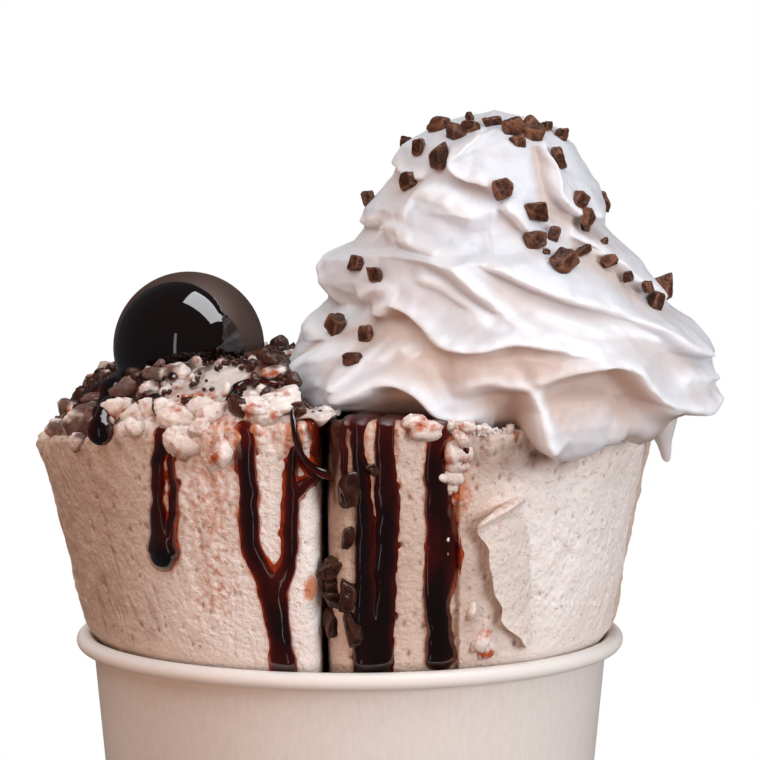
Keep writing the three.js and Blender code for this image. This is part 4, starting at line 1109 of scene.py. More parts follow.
# Folds: crest points as degrees round from the front and height above the rim; the long slope lies left of
# the crest's direction. Lip: how far it stands out, and how wide its long slope and its steep side are
creamFolds = [
    {"crest": [(-58, 74), (-48, 72.6), (-37, 71.1), (-24, 69.2), (-12, 66.3), (-2, 61.4), (7, 56.4),
               (22, 53.7), (36, 53.2)],
     "lip": (2.7, 8, 4.4), "hollow": 0.3},
    {"crest": [(-49, 59.6), (-42, 58.6), (-35, 60.2), (-26, 57.7), (-17, 54), (-7, 53.4), (3, 54.5),
               (22, 52.4), (32, 51)],
     "lip": (3, 5.5, 3.2)},
    {"crest": [(-7, 66.4), (2, 66.6), (14, 63.8), (26, 60.9), (41, 58.8), (51, 56), (58, 52.8),
               (67, 51.9), (74, 51.2)],
     "lip": (2.8, 7, 3.2), "hollow": 0.5},
    {"crest": [(3, 46.6), (8, 47.7), (19, 49.5), (28, 50.5), (34, 49.5), (40, 44.7), (46, 42.7),
               (61, 42.1), (80, 45)],
     "lip": (3.6, 7, 3.6)},
    {"crest": [(-17, 44.7), (-8, 47.6), (2, 47.6), (6, 46.5), (6.5, 43), (8, 38.9),
               (11, 36.6)], "lip": (3, 5.5, 3.6)},
    {"crest": [(-46, 44.5), (-37, 46.6), (-29, 48), (-23, 46.1), (-18, 42),
               (-7, 42.1)], "lip": (2.6, 4.5, 3)},
    {"crest": [(-43, 52), (-47, 52.7), (-52, 52.3), (-57, 51.4), (-61, 49.7),
               (-66, 47.4)], "lip": (2.6, 9, 1.3)},
    {"crest": [(-35, 53.5), (-38, 51), (-40, 49.8), (-42, 48.6), (-43, 46.6)], "lip": (2.2, 6, 1.3)},
    {"crest": [(-110, 58), (-95, 57.5), (-77, 56.6), (-63, 55.1), (-53, 53.7),
               (-45, 53.1)], "lip": (0.8, 6, 2.4)},
    {"crest": [(-95, 68), (-77, 66), (-66, 62), (-55, 58)], "lip": (0.8, 7, 3)},
    {"crest": [(-4, 91.6), (-13, 88.7), (-19, 86.4), (-24, 84.5), (-22, 82.7), (-15, 81.2), (-7, 80.6),
               (4, 78.4)],
     "lip": (2.8, 7, 1.8), "hollow": 0.4},
    {"crest": [(1, 75), (-8, 75.5), (-15, 76.6), (-24, 78), (-31, 78.7), (-38, 78.9), (-42, 78.2),
               (-41, 76), (-38, 72.6)],
     "lip": (2, 6, 1.4), "hollow": 0.5},
    {"crest": [(-100, 73.2), (-80, 73.6), (-59, 74), (-50, 73.3), (-42, 72.2),
               (-35, 71.2)], "lip": (1.0, 4, 2)},
    {"crest": [(38, 86), (36, 82), (33, 78.8), (38, 76.6), (49, 74.7), (73, 74)], "lip": (2.2, 8, 2)},
    {"crest": [(36, 72.4), (49, 69.5), (62, 63.4), (78, 61)], "lip": (2.2, 7, 2.6)},
    {"crest": [(-53, 61), (-47, 62.1), (-40, 63.1), (-35, 62.9), (-33, 61.6)], "lip": (1.3, 4, 1.6)},
    {"crest": [(-24, 51), (-26, 52.6), (-29, 53.3), (-31, 53), (-33, 51)], "lip": (1.1, 4, 1.2)},
    {"crest": [(50, 46.4), (59, 47.5), (68, 47.5), (86, 46.4)], "lip": (2, 4, 2.2)},
    {"crest": [(4, 77.3), (12, 75.1), (17, 72.9), (24, 70.6)], "lip": (1.3, 4, 1.6)},
    {"crest": [(-44, 70), (-47, 72), (-52, 72.9), (-57, 72.6), (-60, 71)], "lip": (1.3, 4, 1.1)},
    {"crest": [(-90, 84), (-70, 83), (-52, 81.4), (-40, 82)], "lip": (1.6, 4, 2)},
    {"crest": [(-30, 65), (-18, 63.5), (-8, 59.4), (0, 57.4)], "lip": (0.9, 5, 2)},
    {"crest": [(8, 60.2), (24, 56.8), (40, 55.8), (52, 53.6)], "lip": (0.9, 4, 2)},
]
# Rounded lobes: degrees, height above the rim, half width in degrees, half height, how far they stand out
creamLobes = [
    (17, 40.6, 17, 6.2, 4.4), (40, 40.4, 15, 4.8, 2.6), (84, 54, 20, 5.5, 1.5), (-70, 66, 27, 6.6, 1.9),
    (-76, 57, 30, 4.2, 1.7), (-62, 46.5, 29, 7.6, 2.5),
    (-41, 49, 8, 4, 0.8), (70, 57, 24, 6.5, 1.2), (74, 65, 20, 6, 1.0), (68, 44.5, 18, 5, 1.2),
    (-24, 86, 12, 4, 0.8),
    (140, 44, 20, 6, 1.5), (-120, 50, 18, 6, 1.3), (175, 60, 16, 6, 1.2), (-140, 66, 20, 6, 1.2),
]
cream = {
    "top": 93, "back": -15, "base": 38, "columns": 520, "rows": 182, "behindTurn": 172,
    "foldsBehind": (0, 1, 2, 3, 5, 10, 13, 14),
    "degreeLength": 0.55, "droop": 0.45, "endFade": 0.14, "round": 0.5, "ribs": 0.04,
    "rim": 0.3, "rimWidth": 1.3, "stronger": 1.2, "raise": 0.5, "hollowDepth": 1.5, "crestWidth": 1.1,
    "bulge": {"degrees": -46, "width": 26, "share": 0.12, "below": 60},
    # white is the cream's own colour; crest is a painted highlight along the lips, hollow a painted tan
    # shade
    "white": colour(218, 223, 231), "crest": colour(237, 240, 246), "hollow": colour(200, 174, 158),
    "hollowShare": 0.8, "roughness": 0.4,
}


def wrapTurn(degrees):
    return np.mod(degrees + 180, 360) - 180


def creamRing(above, degrees):
    # middle and radius of the cream at a height, with a bulge towards the seam
    left = np.interp(above, creamReaches[:, 0], creamReaches[:, 1])
    right = np.interp(above, creamReaches[:, 0], creamReaches[:, 2])
    bulge = cream["bulge"]
    across = np.exp(-(((degrees - bulge["degrees"]) / bulge["width"]) ** 2))
    low = smoothStep(50, 43, above)
    swell = 1 + bulge["share"] * across * smoothStep(0, 12, bulge["below"] - above) * (1 + 0.4 * low)
    return (left + right) / 2, (right - left) / 2 * swell


def foldField(degrees, above):
    # each fold is a ramp that climbs to its crest from above and drops steeply below it, with a hollow
    # underneath; the folds are joined by a soft greatest
    # the hollow value also sets painted tan shade, and lipLight a painted highlight along the crests
    turned = [{**creamFolds[k], "crest": [(d + cream["behindTurn"], a) for d, a in creamFolds[k]["crest"]]}
              for k in cream["foldsBehind"]]
    total = np.zeros(above.shape)
    hollow = np.zeros(above.shape)
    lipLight = np.zeros(above.shape)
    for fold in creamFolds + turned:
        height, widthAbove, widthBelow = fold["lip"]
        height = height * cream["stronger"]
        crest = curveThrough(fold["crest"], 36) + np.array([0, cream["raise"] * height])
        middle = crest[len(crest) // 2, 0]
        line = crest * np.array([cream["degreeLength"], 1])
        x = (middle + wrapTurn(degrees - middle)) * cream["degreeLength"]
        reach = 2.6 * max(widthAbove, widthBelow)
        near = (x > line[:, 0].min() - reach) & (x < line[:, 0].max() + reach)
        near &= (above > line[:, 1].min() - reach) & (above < line[:, 1].max() + reach)
        distance, side, share = nearestOnLine(line, x[near], above[near])
        ends = smoothStep(0, cream["endFade"], share) * smoothStep(0, cream["endFade"], 1 - share)
        strength = 0.25 + 0.75 * ends
        soft = np.sqrt(distance**2 + cream["round"] ** 2) - cream["round"]
        up = np.maximum(1 - soft / widthAbove, 0)
        down = np.maximum(1 - soft / widthBelow, 0)
        ribs = cream["ribs"] * np.cos(2 * np.pi * distance / 2.7) * smoothStep(0.8, 2.4, distance) * up
        rim = cream["rim"] * np.exp(-((distance / cream["rimWidth"]) ** 2))
        slope = (1 - cream["rim"]) * (0.5 * up**1.5 + 0.5 * up * up * (3 - 2 * up))
        shape = np.where(side >= 0, slope + rim + ribs, down**1.7)
        shape = np.maximum(shape, 0)
        total[near] += (height * shape * strength) ** 5
        under = np.where(side < 0, np.exp(-(((distance - 1.4 * widthBelow) / (1.3 * widthBelow)) ** 2)), 0)
        hollow[near] = np.maximum(hollow[near], under * strength * height / 3 * fold.get("hollow", 1))
        bright = np.exp(-((distance / cream["crestWidth"]) ** 2)) * strength
        lipLight[near] = np.maximum(lipLight[near], bright)
    return total ** 0.2, hollow, lipLight


def creamSurface(degrees, above, grow=0.0):
    # the folded side: the ring's radius and the folds, whose lips also hang a little
    middle, radius = creamRing(above, degrees)
    lift, hollow, lipLight = foldField(degrees, above)
    fade = smoothStep(0, 9, radius)
    for turn, level, width, tall, out in creamLobes:
        away = (wrapTurn(degrees - turn) / width) ** 2 + ((above - level) / tall) ** 2
        dome = np.clip(1 - away, 0, 1)
        lift = lift + out * dome**0.9
        hollow = hollow * (1 - 0.7 * dome)
    lift = (lift - cream["hollowDepth"] * hollow) * fade
    out = radius - 0.5 + lift + grow
    angle = np.radians(degrees)
    points = np.stack([
        middle + out * np.sin(angle),
        cream["back"] - out * np.cos(angle),
        cup["height"] + above - cream["droop"] * lift,
    ], -1)
    return points, hollow, lipLight


def buildCream():
    # a flat underside that turns up to a wavy lower edge, then the folded side up to the peak
    turn = np.linspace(-0.5, 0.5, cream["columns"], endpoint=False)
    degrees = 360 * turn - 22 * np.sin(2 * np.pi * turn)
    hem = np.interp(degrees, creamHem[:, 0], creamHem[:, 1])
    hem = hem + 0.35 * noise(np.stack([degrees * 0.55, 0 * hem, 0 * hem], -1), 3.4, 40)
    share = np.linspace(0, 1, cream["rows"])[:, None]
    rise = 0.72 * share + 0.28 * np.sin(share * np.pi / 2)
    above = hem + 0.2 + (cream["top"] - 0.25 - hem - 0.2) * rise
    columns = np.broadcast_to(degrees, above.shape)
    side, hollow, lipLight = creamSurface(columns, above)
    curl = np.clip(1 - (above - hem) / 1.7, 0, 1)
    middle, _ = creamRing(above, columns)
    centre = np.stack([middle, np.full(middle.shape, cream["back"])], -1)
    inward = (1.5 * (1 - np.sqrt(1 - curl**2)))[..., None]
    away = side[..., :2] - centre
    side[..., :2] -= away / np.linalg.norm(away, axis=-1, keepdims=True) * inward
    softness = 0.28 * noise(side, 7, 41) + 0.17 * noise(side * np.array([1, 1, 1.6]), 2.6, 42)
    softness = softness + 0.05 * noise(side, 1.1, 46)
    bubbly = np.exp(-(((columns - 20) / 13) ** 2) - ((above - 42) / 4.5) ** 2)
    bubbly = bubbly + 0.35 * np.exp(-(((columns + 5) / 12) ** 2) - ((above - 72) / 6) ** 2)
    bubbles = smoothStep(0.45, 0.1, cellDistance(side, 1.5, 43, 0.45))
    softness = softness + 0.25 * bubbly * noise(side, 1.4, 44) - 0.35 * bubbly * bubbles
    scallop = 0.4 * lipLight * noise(side, 2.2, 45)
    away = side[..., :2] - centre
    reach = np.linalg.norm(away, axis=-1, keepdims=True)
    softness = softness + scallop
    side[..., :2] += away / reach * softness[..., None] * smoothStep(0, 6, reach)
    side[..., 2] += 0.5 * softness
    side[-1] = side[-1].mean(axis=0) + np.array([0, 0, 0.3])
    under = np.array([0, 0.45, 0.8, 0.96])[:, None]
    base = creamRing(np.array(float(cream["base"])), 0)[0]
    start = np.array([base, cream["back"]])
    underGrid = np.zeros((4, cream["columns"], 3))
    underGrid[..., :2] = start + (side[0, :, :2] - start) * under[..., None]
    underGrid[..., 2] = cup["height"] + cream["base"] + (hem - cream["base"]) * smoothStep(0.6, 1, under)
    grid = np.concatenate([underGrid, side])
    # painted tan shade in the hollows, less at the crests, and over the flat underside; crest: the painted
    # highlight
    tint = np.concatenate([np.full((4, cream["columns"]), 0.7), np.clip(hollow - 0.6 * lipLight, 0, 1)])
    crest = np.concatenate([np.zeros((4, cream["columns"])), lipLight])
    values = {"hollow": tint, "crest": crest}
    closedPiece("cream_swirl", grid, makeCream(), values, ["whipped_cream"])


def makeCream():
    # white cream with painted tan shade in its hollows and a painted highlight along its crests, soft to
    # light, with a faint sheen and fine froth
    material, tree, shader, place = newMaterial("whippedCream", cream["roughness"], **{
        "Subsurface Weight": 0.35, "Subsurface Radius": (1.0, 0.8, 0.68), "Subsurface Scale": 0.0016,
        "Specular IOR Level": 0.3,
    })
    crest = mathNode(tree, "MULTIPLY", readValue(tree, "crest"), 1.4, True)
    base = mixColour(tree, crest, cream["white"], cream["crest"])
    hollow = mathNode(tree, "MULTIPLY", readValue(tree, "hollow"), cream["hollowShare"])
    feed(tree, shader.inputs["Base Color"], mixColour(tree, hollow, base, cream["hollow"]))
    grain = addGroup(tree, grainGroup, Vector=place, Size=0.0011)
    addBump(tree, shader, grain["Height"], 0.00008)
    return material


buildCream()


# Drop that hangs from the cream's lower right edge: x, y, height above the rim, half width
creamDrop = [(54.0, -15, 43.6, 4.4), (54.3, -15, 41.2, 3.7), (54.5, -15, 39.0, 2.9),
             (54.7, -15, 37.4, 2.3), (54.9, -15, 36.0, 1.75), (55.1, -15, 34.8, 1.3),
             (55.3, -15, 33.6, 1.05), (55.4, -15, 32.6, 0.85), (55.5, -15, 31.9, 0.6),
             (55.5, -15, 31.6, 0.35)]


def tubeAlong(path, halfWidth, flatten=0.6, sides=22, reference=(0, 0, 1)):
    # rounded cross-sections carried along a path: sideways across it, and up, narrowing to its ends
    along = np.gradient(path, axis=0)
    along = along / np.linalg.norm(along, axis=1, keepdims=True)
    across = np.cross(along, reference)
    across = across / np.maximum(np.linalg.norm(across, axis=1, keepdims=True), 1e-6)
    up = np.cross(across, along)
    share = np.linspace(0, 1, len(path))
    width = halfWidth * np.sqrt(np.clip(1 - (2 * share - 1) ** 8, 0, 1))
    angle = -np.linspace(0, 2 * np.pi, sides, endpoint=False)
    ring = (across[:, None] * np.cos(angle)[:, None] + flatten * up[:, None] * np.sin(angle)[:, None])
    return path[:, None] + ring * width[:, None, None], width


def buildCreamDrop():
    line = curveThrough(creamDrop, 40)
    tube, _ = tubeAlong(line[:, :3] + np.array([0, 0, cup["height"]]), line[:, 3], 0.9, 28, (0, -0.7, 0.7))
    # painted tan shade over the whole drop
    closedPiece("cream_drop", tube, bpy.data.materials["whippedCream"], {"hollow": 0.4})


buildCreamDrop()
print("cream done")


# Chocolate pieces on the cream: degrees round from the front, height above the rim, length, width
creamChips = [
    (-64, 90.2, 4.6, 3.4), (-54, 86.4, 2.3, 3), (-35, 84.9, 3.6, 4.8), (-52, 81.3, 3.6, 3.6),
    (-90, 77.6, 3.2, 3),
    (-34, 89.1, 3.2, 3.2), (-25, 89.9, 4, 2.4), (-40, 91.6, 2.3, 1.6), (-2, 91, 3.4, 2.3),
    (14, 89.9, 4.8, 3.8),
    (31, 89.2, 3.8, 4), (18, 87.8, 2.7, 2.3), (54, 90.2, 3.4, 2), (64, 88.6, 3, 2.6), (42, 85.4, 2.4, 4),
    (4, 80.2, 3.8, 3.6), (22, 76.2, 3.9, 3.9), (45, 78.7, 3, 3), (47, 75.9, 2.5, 3.2), (52, 73.4, 2, 2.5),
    (19, 71.3, 4.4, 3), (30, 72, 2.3, 3), (27.5, 67.8, 4.9, 3.5), (22, 69.6, 1.2, 1.4),
    (41, 68.9, 3.6, 1.7),
    (51, 67.6, 3.6, 2.4), (56, 65.4, 2.6, 1.9), (61, 64, 2.7, 2.1), (80, 62.8, 4.2, 4.2),
    (63, 60.3, 3, 4.8),
    (56, 71, 2.1, 1.3), (-52, 67.6, 2.3, 3), (-43, 65.6, 2.6, 2.6), (-57, 57.3, 3.9, 4),
    (-43, 55.2, 2.7, 3.2),
    (-40, 52.4, 3.5, 2.7),
]
chipsBehind = 14


def surfaceFrames(points, degrees):
    # X round the swirl to the right, Y out of it, Z up, for each place
    angle = np.radians(degrees)
    zero, one = 0 * angle, 0 * angle + 1
    right = np.stack([np.cos(angle), np.sin(angle), zero], -1)
    out = np.stack([np.sin(angle), -np.cos(angle), zero], -1)
    return np.stack([right, out, np.stack([zero, zero, one], -1)], -1)


def buildChips():
    draw = np.random.default_rng(35)
    behind = wrapTurn(100 + 160 * np.mod(np.arange(chipsBehind) * 0.618, 1))
    heights = 58 + 32 * np.sqrt(draw.random(chipsBehind))
    lengths = 2.4 + 2 * draw.random(chipsBehind)
    extra = np.stack([behind, heights, lengths, 2.2 + draw.random(chipsBehind)], -1)
    degrees, above, length, width = np.vstack([creamChips, extra]).T
    points, _, _ = creamSurface(degrees, above, 0.5)
    sizes = np.stack([length, 0.8 * np.minimum(length, width), width], -1)
    angles = (draw.random((len(degrees), 3)) - 0.5) * np.array([0.6, 0.6, 1.0])
    buildLumps("cream_chips", points, 0.94 * sizes, chipMaterial, "chocolate", 26, 36, 12, 0.08, 36, angles,
               surfaceFrames(points, degrees))


buildChips()


# Chocolate ball with a poured coat on its front
ballFinish = {
    "rows": 150, "turns": 240, "coatThickness": 0.2, "axis": (0, -1, 0),
    "shell": colour(86, 62, 52), "shellDark": colour(60, 41, 34), "coat": colour(15, 5, 4),
}
# Reach of the coat round its axis: degrees round from the right over the top, degrees from the axis
coatReach = np.array([(0, 51), (24, 47.5), (48, 45), (64, 52), (84, 60), (100, 65), (135, 71),
                      (170, 77), (200, 78),
                      (225, 78), (270, 80), (315, 70), (340, 58), (360, 51)])


def makeBallMaterial():
    # bare shell where the mask is 0: matte, cocoa brown; poured coat where it is 1: near black, glossy
    material, tree, shader, place = newMaterial("ballChocolate", 0.4, **{"IOR": 1.5, "Coat Roughness": 0.03})
    grain = addGroup(tree, grainGroup, Vector=place, Size=0.0012)
    shell = mixColour(tree, grain["Tone"], ballFinish["shell"], ballFinish["shellDark"])
    mask = readValue(tree, "coat")
    feed(tree, shader.inputs["Base Color"], mixColour(tree, mask, shell, ballFinish["coat"]))
    feed(tree, shader.inputs["Roughness"], spread(tree, mask, 0.55, 0.05))
    feed(tree, shader.inputs["Coat Weight"], mask)
    bare = mathNode(tree, "MULTIPLY", grain["Height"], mathNode(tree, "SUBTRACT", 1.0, mask))
    addBump(tree, shader, bare, 0.00006)
    return material


def buildBall():
    # a ball whose radius grows by the coat's thickness inside the coat's outline, rounded at its edge
    grid = unitGrid(ballFinish["rows"], ballFinish["turns"])
    axis = np.array(ballFinish["axis"])
    right = np.cross([0, 0, 1], axis)
    up = np.cross(axis, right)
    away = np.degrees(np.arccos(np.clip(grid @ axis, -1, 1)))
    around = np.mod(np.degrees(np.arctan2(grid @ up, grid @ right)), 360)
    reach = np.interp(around, coatReach[:, 0], coatReach[:, 1]) + 1.6 * noise(grid * 10, 6, 91)
    inside = (reach - away) * math.pi / 180 * ball["radius"]
    coat = smoothStep(-0.3, 2.4, inside)
    radius = ball["radius"] + ballFinish["coatThickness"] * coat
    points = grid * radius[..., None] + ballMiddle
    values = {"coat": smoothStep(-0.05, 0.25, inside)}
    closedPiece("ball_coated", points, makeBallMaterial(), values, ["chocolate_ball"])


buildBall()


# Toppings on the heap
# Pale lumps at the front: x, y, width, height
paleLumps = [
    (-47.4, -21.8, 5.6, 3.0), (-45.4, -24.4, 5.0, 3.0), (-43.4, -27.0, 4.4, 2.8), (-38.0, -36.4, 4.4, 3.8),
    (-27.2, -46.6, 5.2, 4.4), (-24.4, -46.8, 3.8, 3.2), (-35.3, -38.6, 3.8, 3.2), (-42.6, -30.4, 3.2, 2.6),
    (-14.0, -50.5, 5.6, 3.0), (-11.8, -50.8, 5.0, 3.0), (-12.8, -51.8, 4.4, 3.2), (-9.6, -50.2, 3.4, 2.4),
    (-35.4, -30.1, 5.2, 3.0), (-31.9, -32.2, 4.4, 2.8), (-28.6, -35.0, 4.2, 2.6), (-33.0, -36.4, 3.8, 2.8),
    (-32.6, -41.6, 4.0, 3.2), (-30.2, -43.0, 3.0, 2.6), (-21.6, -49.4, 3.6, 3.0), (-44.3, -15.6, 3.6, 2.6),
    (-49.4, -17.8, 3.8, 2.4), (-12.6, -44.8, 3.8, 2.2), (-38.8, -27.4, 3.0, 2.2), (-47.8, -8.6, 3.4, 2.6),
]
# Round dark pieces by the cream: x, y, size
pearls = [
    (-12.3, -6.0, 3.4), (-13.2, -43.5, 2.2), (-10.9, -28.3, 2.6), (-12.0, -46.2, 2.2), (-9.6, -36.6, 2.4),
    (-9.4, -44.9, 2.4), (-8.6, -48.0, 2.0), (-9.9, -49.9, 1.9), (-8.2, -52.0, 2.1), (-15.3, -47.6, 2.0),
    (-17.0, -51.3, 3.3), (-36.6, -25.4, 2.8), (-35.6, -30.4, 2.3), (-10.8, -41.4, 2.5), (-11.2, -38.4, 2.1),
    (-12.4, -37.0, 2.2), (-13.6, -31.4, 2.6), (-7.6, -53.6, 1.8), (-14.6, -38.6, 2.0), (-16.4, -35.0, 1.8),
]
# Sauce strings on the heap: x, y, half width, lift
sauceStrings = [
    [(-38.4, -21.6, 2.4, 1.2), (-39.2, -26.0, 2.6, 0.9), (-40.9, -30.2, 2.2, 0.9), (-41.6, -32.6, 2.0, 1.0),
     (-42.0, -35.0, 2.0, 1.2)],
    [(-39.2, -15.3, 2.2, 1.5), (-42.6, -12.2, 2.0, 1.0), (-45.4, -12.6, 1.5, 0.9), (-48.0, -13.8, 1.1, 0.8),
     (-50.4, -13.0, 0.8, 0.7)],
    [(-48.4, -16.0, 0.6, 1.1), (-45.0, -24.0, 0.8, 1.3), (-42.4, -28.4, 0.9, 1.2), (-37.7, -34.4, 0.9, 1.2),
     (-33.1, -39.9, 0.9, 1.1), (-30.4, -42.1, 1.1, 1.0)],
    [(-36.8, -22.0, 1.6, 1.4), (-36.4, -27.6, 1.3, 1.1), (-35.0, -32.6, 1.2, 1.1), (-33.2, -37.9, 1.3, 1.1),
     (-31.3, -41.7, 1.6, 1.1), (-30.7, -45.1, 1.7, 0.9)],
    [(-19.8, -49.0, 0.9, 0.7), (-18.4, -47.0, 0.9, 0.9), (-16.4, -46.2, 0.8, 0.9), (-14.4, -47.0, 1.2, 1.0),
     (-12.4, -47.6, 1.1, 1.0), (-10.4, -46.3, 0.8, 0.9)],
    [(-18.2, -47.6, 1.1, 0.8), (-17.6, -49.4, 1.2, 0.8), (-17.0, -51.4, 1.4, 0.9)],
    [(-10.6, -46.8, 0.7, 1.0), (-9.6, -49.8, 0.7, 1.0), (-9.1, -52.4, 0.9, 0.9)],
    [(-27.0, -22.6, 1.2, 0.6), (-29.6, -28.4, 1.0, 0.8), (-28.8, -33.8, 0.9, 0.8),
     (-29.6, -38.0, 1.1, 0.8)],
    [(-24.0, -16.0, 0.8, 0.9), (-16.0, -18.0, 0.8, 0.9), (-12.0, -24.0, 0.9, 0.9),
     (-10.6, -32.0, 0.8, 0.8)],
    [(-22.0, 4.0, 1.0, 0.9), (-27.0, 12.0, 1.0, 0.9), (-36.0, 14.0, 0.9, 0.9), (-44.0, 8.0, 0.8, 0.9)],
    [(-40.0, 4.0, 0.9, 0.9), (-46.0, 0.0, 0.9, 0.9), (-51.0, 2.0, 0.9, 0.9)],
]
# Hanging sauce: x, y, height above the rim, half width; it leaves the surface on its way
hangingSauce = [
    [(-39.8, -30.6, 44.3, 1.2), (-40.2, -33.6, 43.9, 1.5), (-40.7, -36.2, 43.2, 1.4),
     (-41.1, -37.6, 42.4, 1.25),
     (-41.3, -38.2, 41.6, 1.4), (-41.4, -38.4, 40.8, 2.0), (-41.4, -38.5, 39.6, 2.4),
     (-41.4, -38.5, 38.5, 2.2),
     (-41.4, -38.4, 37.7, 1.6), (-41.4, -38.3, 37.35, 0.9), (-41.4, -38.3, 37.2, 0.3)],
    [(-9.0, -51.6, 45.6, 0.6), (-8.7, -54.6, 42.8, 0.55), (-8.2, -56.0, 39.6, 0.5),
     (-7.0, -56.2, 37.0, 0.5),
     (-5.4, -55.4, 35.2, 0.7), (-3.6, -54.6, 34.2, 1.0), (-3.0, -53.6, 33.8, 0.9)],
]


def clearOfToppings(points, margin):
    # true where a place is outside the ball and outside the cream
    fromBall = np.linalg.norm(points - ballMiddle, axis=-1)
    above = points[..., 2] - cup["height"]
    middle, radius = creamRing(above, -90.0)
    fromCream = np.hypot(points[..., 0] - middle, points[..., 1] - cream["back"])
    return (fromBall > ball["radius"] + margin) & (fromCream > radius + margin)


def scatterOnHeap(count, seed, chance, margin, lift):
    # places drawn evenly over the heap, kept by a chance that depends on the place
    draw = np.random.default_rng(seed)
    share = np.sqrt(draw.random(count * 12)) * 0.985
    angle = draw.random(count * 12) * 2 * np.pi
    points = heapPoint(angle, share)
    points[..., 2] += 0.7 * (heapRelief(points) - heapSink(points)) + lift
    kept = (draw.random(count * 12) < chance(points)) & clearOfToppings(points, margin)
    return points[kept][:count], draw


def nuggetChance(points):
    # dense by the cream and at the back, few on the smooth patch and among the pale lumps in front
    x, y = points[..., 0], points[..., 1]
    smoothness = flatPatches(smoothPatches, points)
    front = smoothStep(-12, -22, y) * smoothStep(-14, -20, x)
    amount = np.clip(0.4 + 0.3 * noise(points, 8, 101) + 0.6 * (x > -15), 0, 1)
    byLobe = smoothStep(-10.5, -8.5, x) * smoothStep(-26, -34, y)
    fromBall = np.hypot(x - ball["centre"][0], y - ball["centre"][1])
    byBall = smoothStep(20.5, 17, fromBall) * smoothStep(-12, -19, y)
    amount = amount * (1 - 0.93 * smoothness) * (1 - 0.8 * front) * (1 - byLobe) * (1 - 0.85 * byBall)
    return amount * smoothStep(-50, -44, x)


def crumbChance(points):
    return np.clip(0.45 - 0.4 * noise(points, 8, 101), 0, 1) * (1 - 0.8 * flatPatches(smoothPatches, points))


# What is strewn over the heap: size as least, more and the power that favours small ones, and each side's
# stretch as a least and a share more
looseKinds = [
    {"name": "heap_nuggets", "count": 430, "seed": 102, "chance": nuggetChance, "margin": 1.0, "lift": 0.2,
     "size": (1.0, 1.5, 1.5), "stretch": (0.75, 0.5), "material": nuggetMaterial, "grid": (7, 9),
     "sharpness": 7, "dents": 0.14, "boxy": 0.6},
    {"name": "heap_crumbs", "count": 170, "seed": 104, "chance": crumbChance, "margin": 1.0, "lift": 0.1,
     "size": (1.0, 2.2, 2), "stretch": (0.7, 0.6), "material": lumpMaterial, "grid": (7, 9),
     "sharpness": 4, "dents": 0.12, "boxy": 0.3},
    {"name": "heap_grains", "count": 620, "seed": 106, "chance": lambda at: 0 * at[..., 0] + 1,
     "margin": 0.4, "lift": 0.25, "size": (0.4, 0.7, 1), "stretch": (0.8, 0.4),
     "material": nuggetMaterial, "grid": (5, 6),
     "sharpness": 6, "dents": 0.1, "boxy": 1.0},
]
tornCrumbs = 160


def toppingOn(rows, lift):
    places = heapAt(rows[:, 0], rows[:, 1])
    places[:, 2] += 0.4 * (heapRelief(places) - heapSink(places)) + lift
    return places


def buildToppings():
    rows = np.array(paleLumps)
    draw = np.random.default_rng(108)
    sizes = np.stack([rows[:, 2] * 1.15, rows[:, 2] * 0.85, rows[:, 3]], -1) * 1.2
    buildLumps("pale_lumps", toppingOn(rows, -0.5), sizes, lumpMaterial, "crumble", 30, 40, 2.7, 0.16, 109,
               (draw.random((len(rows), 3)) - 0.5) * 1.2, boxy=0.2, fine=0.5)
    rows = np.array(pearls)
    sizes = rows[:, 2:3] * (0.85 + 0.25 * draw.random((len(rows), 3)))
    buildLumps("heap_pearls", toppingOn(rows, 0.7), sizes, nuggetMaterial, "crumble", 18, 26, 4.5, 0.08, 110,
               boxy=0.3)
    for kind in looseKinds:
        points, draw = scatterOnHeap(kind["count"], kind["seed"], kind["chance"], kind["margin"],
                                     kind["lift"])
        least, more, power = kind["size"]
        even, uneven = kind["stretch"]
        sizes = least + more * draw.random((len(points), 1)) ** power
        sizes = sizes * (even + uneven * draw.random((len(points), 3)))
        buildLumps(kind["name"], points, sizes, kind["material"], "crumble", *kind["grid"],
                   kind["sharpness"], kind["dents"], kind["seed"] + 1, boxy=kind["boxy"])


def buildTornEdge():
    # crumbs along the right roll's torn top edge
    draw = np.random.default_rng(111)
    x = 16 + 18 * draw.random(tornCrumbs)
    down = 1.6 * draw.random(len(x)) ** 1.5 + 0.2
    places = frontPoint("right", x, topHeight(x) - cup["height"] - down, -0.2)
    sizes = (0.5 + 1.0 * draw.random((len(x), 1)) ** 2) * (0.7 + 0.6 * draw.random((len(x), 3)))
    buildLumps("torn_crumbs", places, sizes, iceMaterial, "ice_cream", 7, 9, 4, 0.14, 112, boxy=0.3)


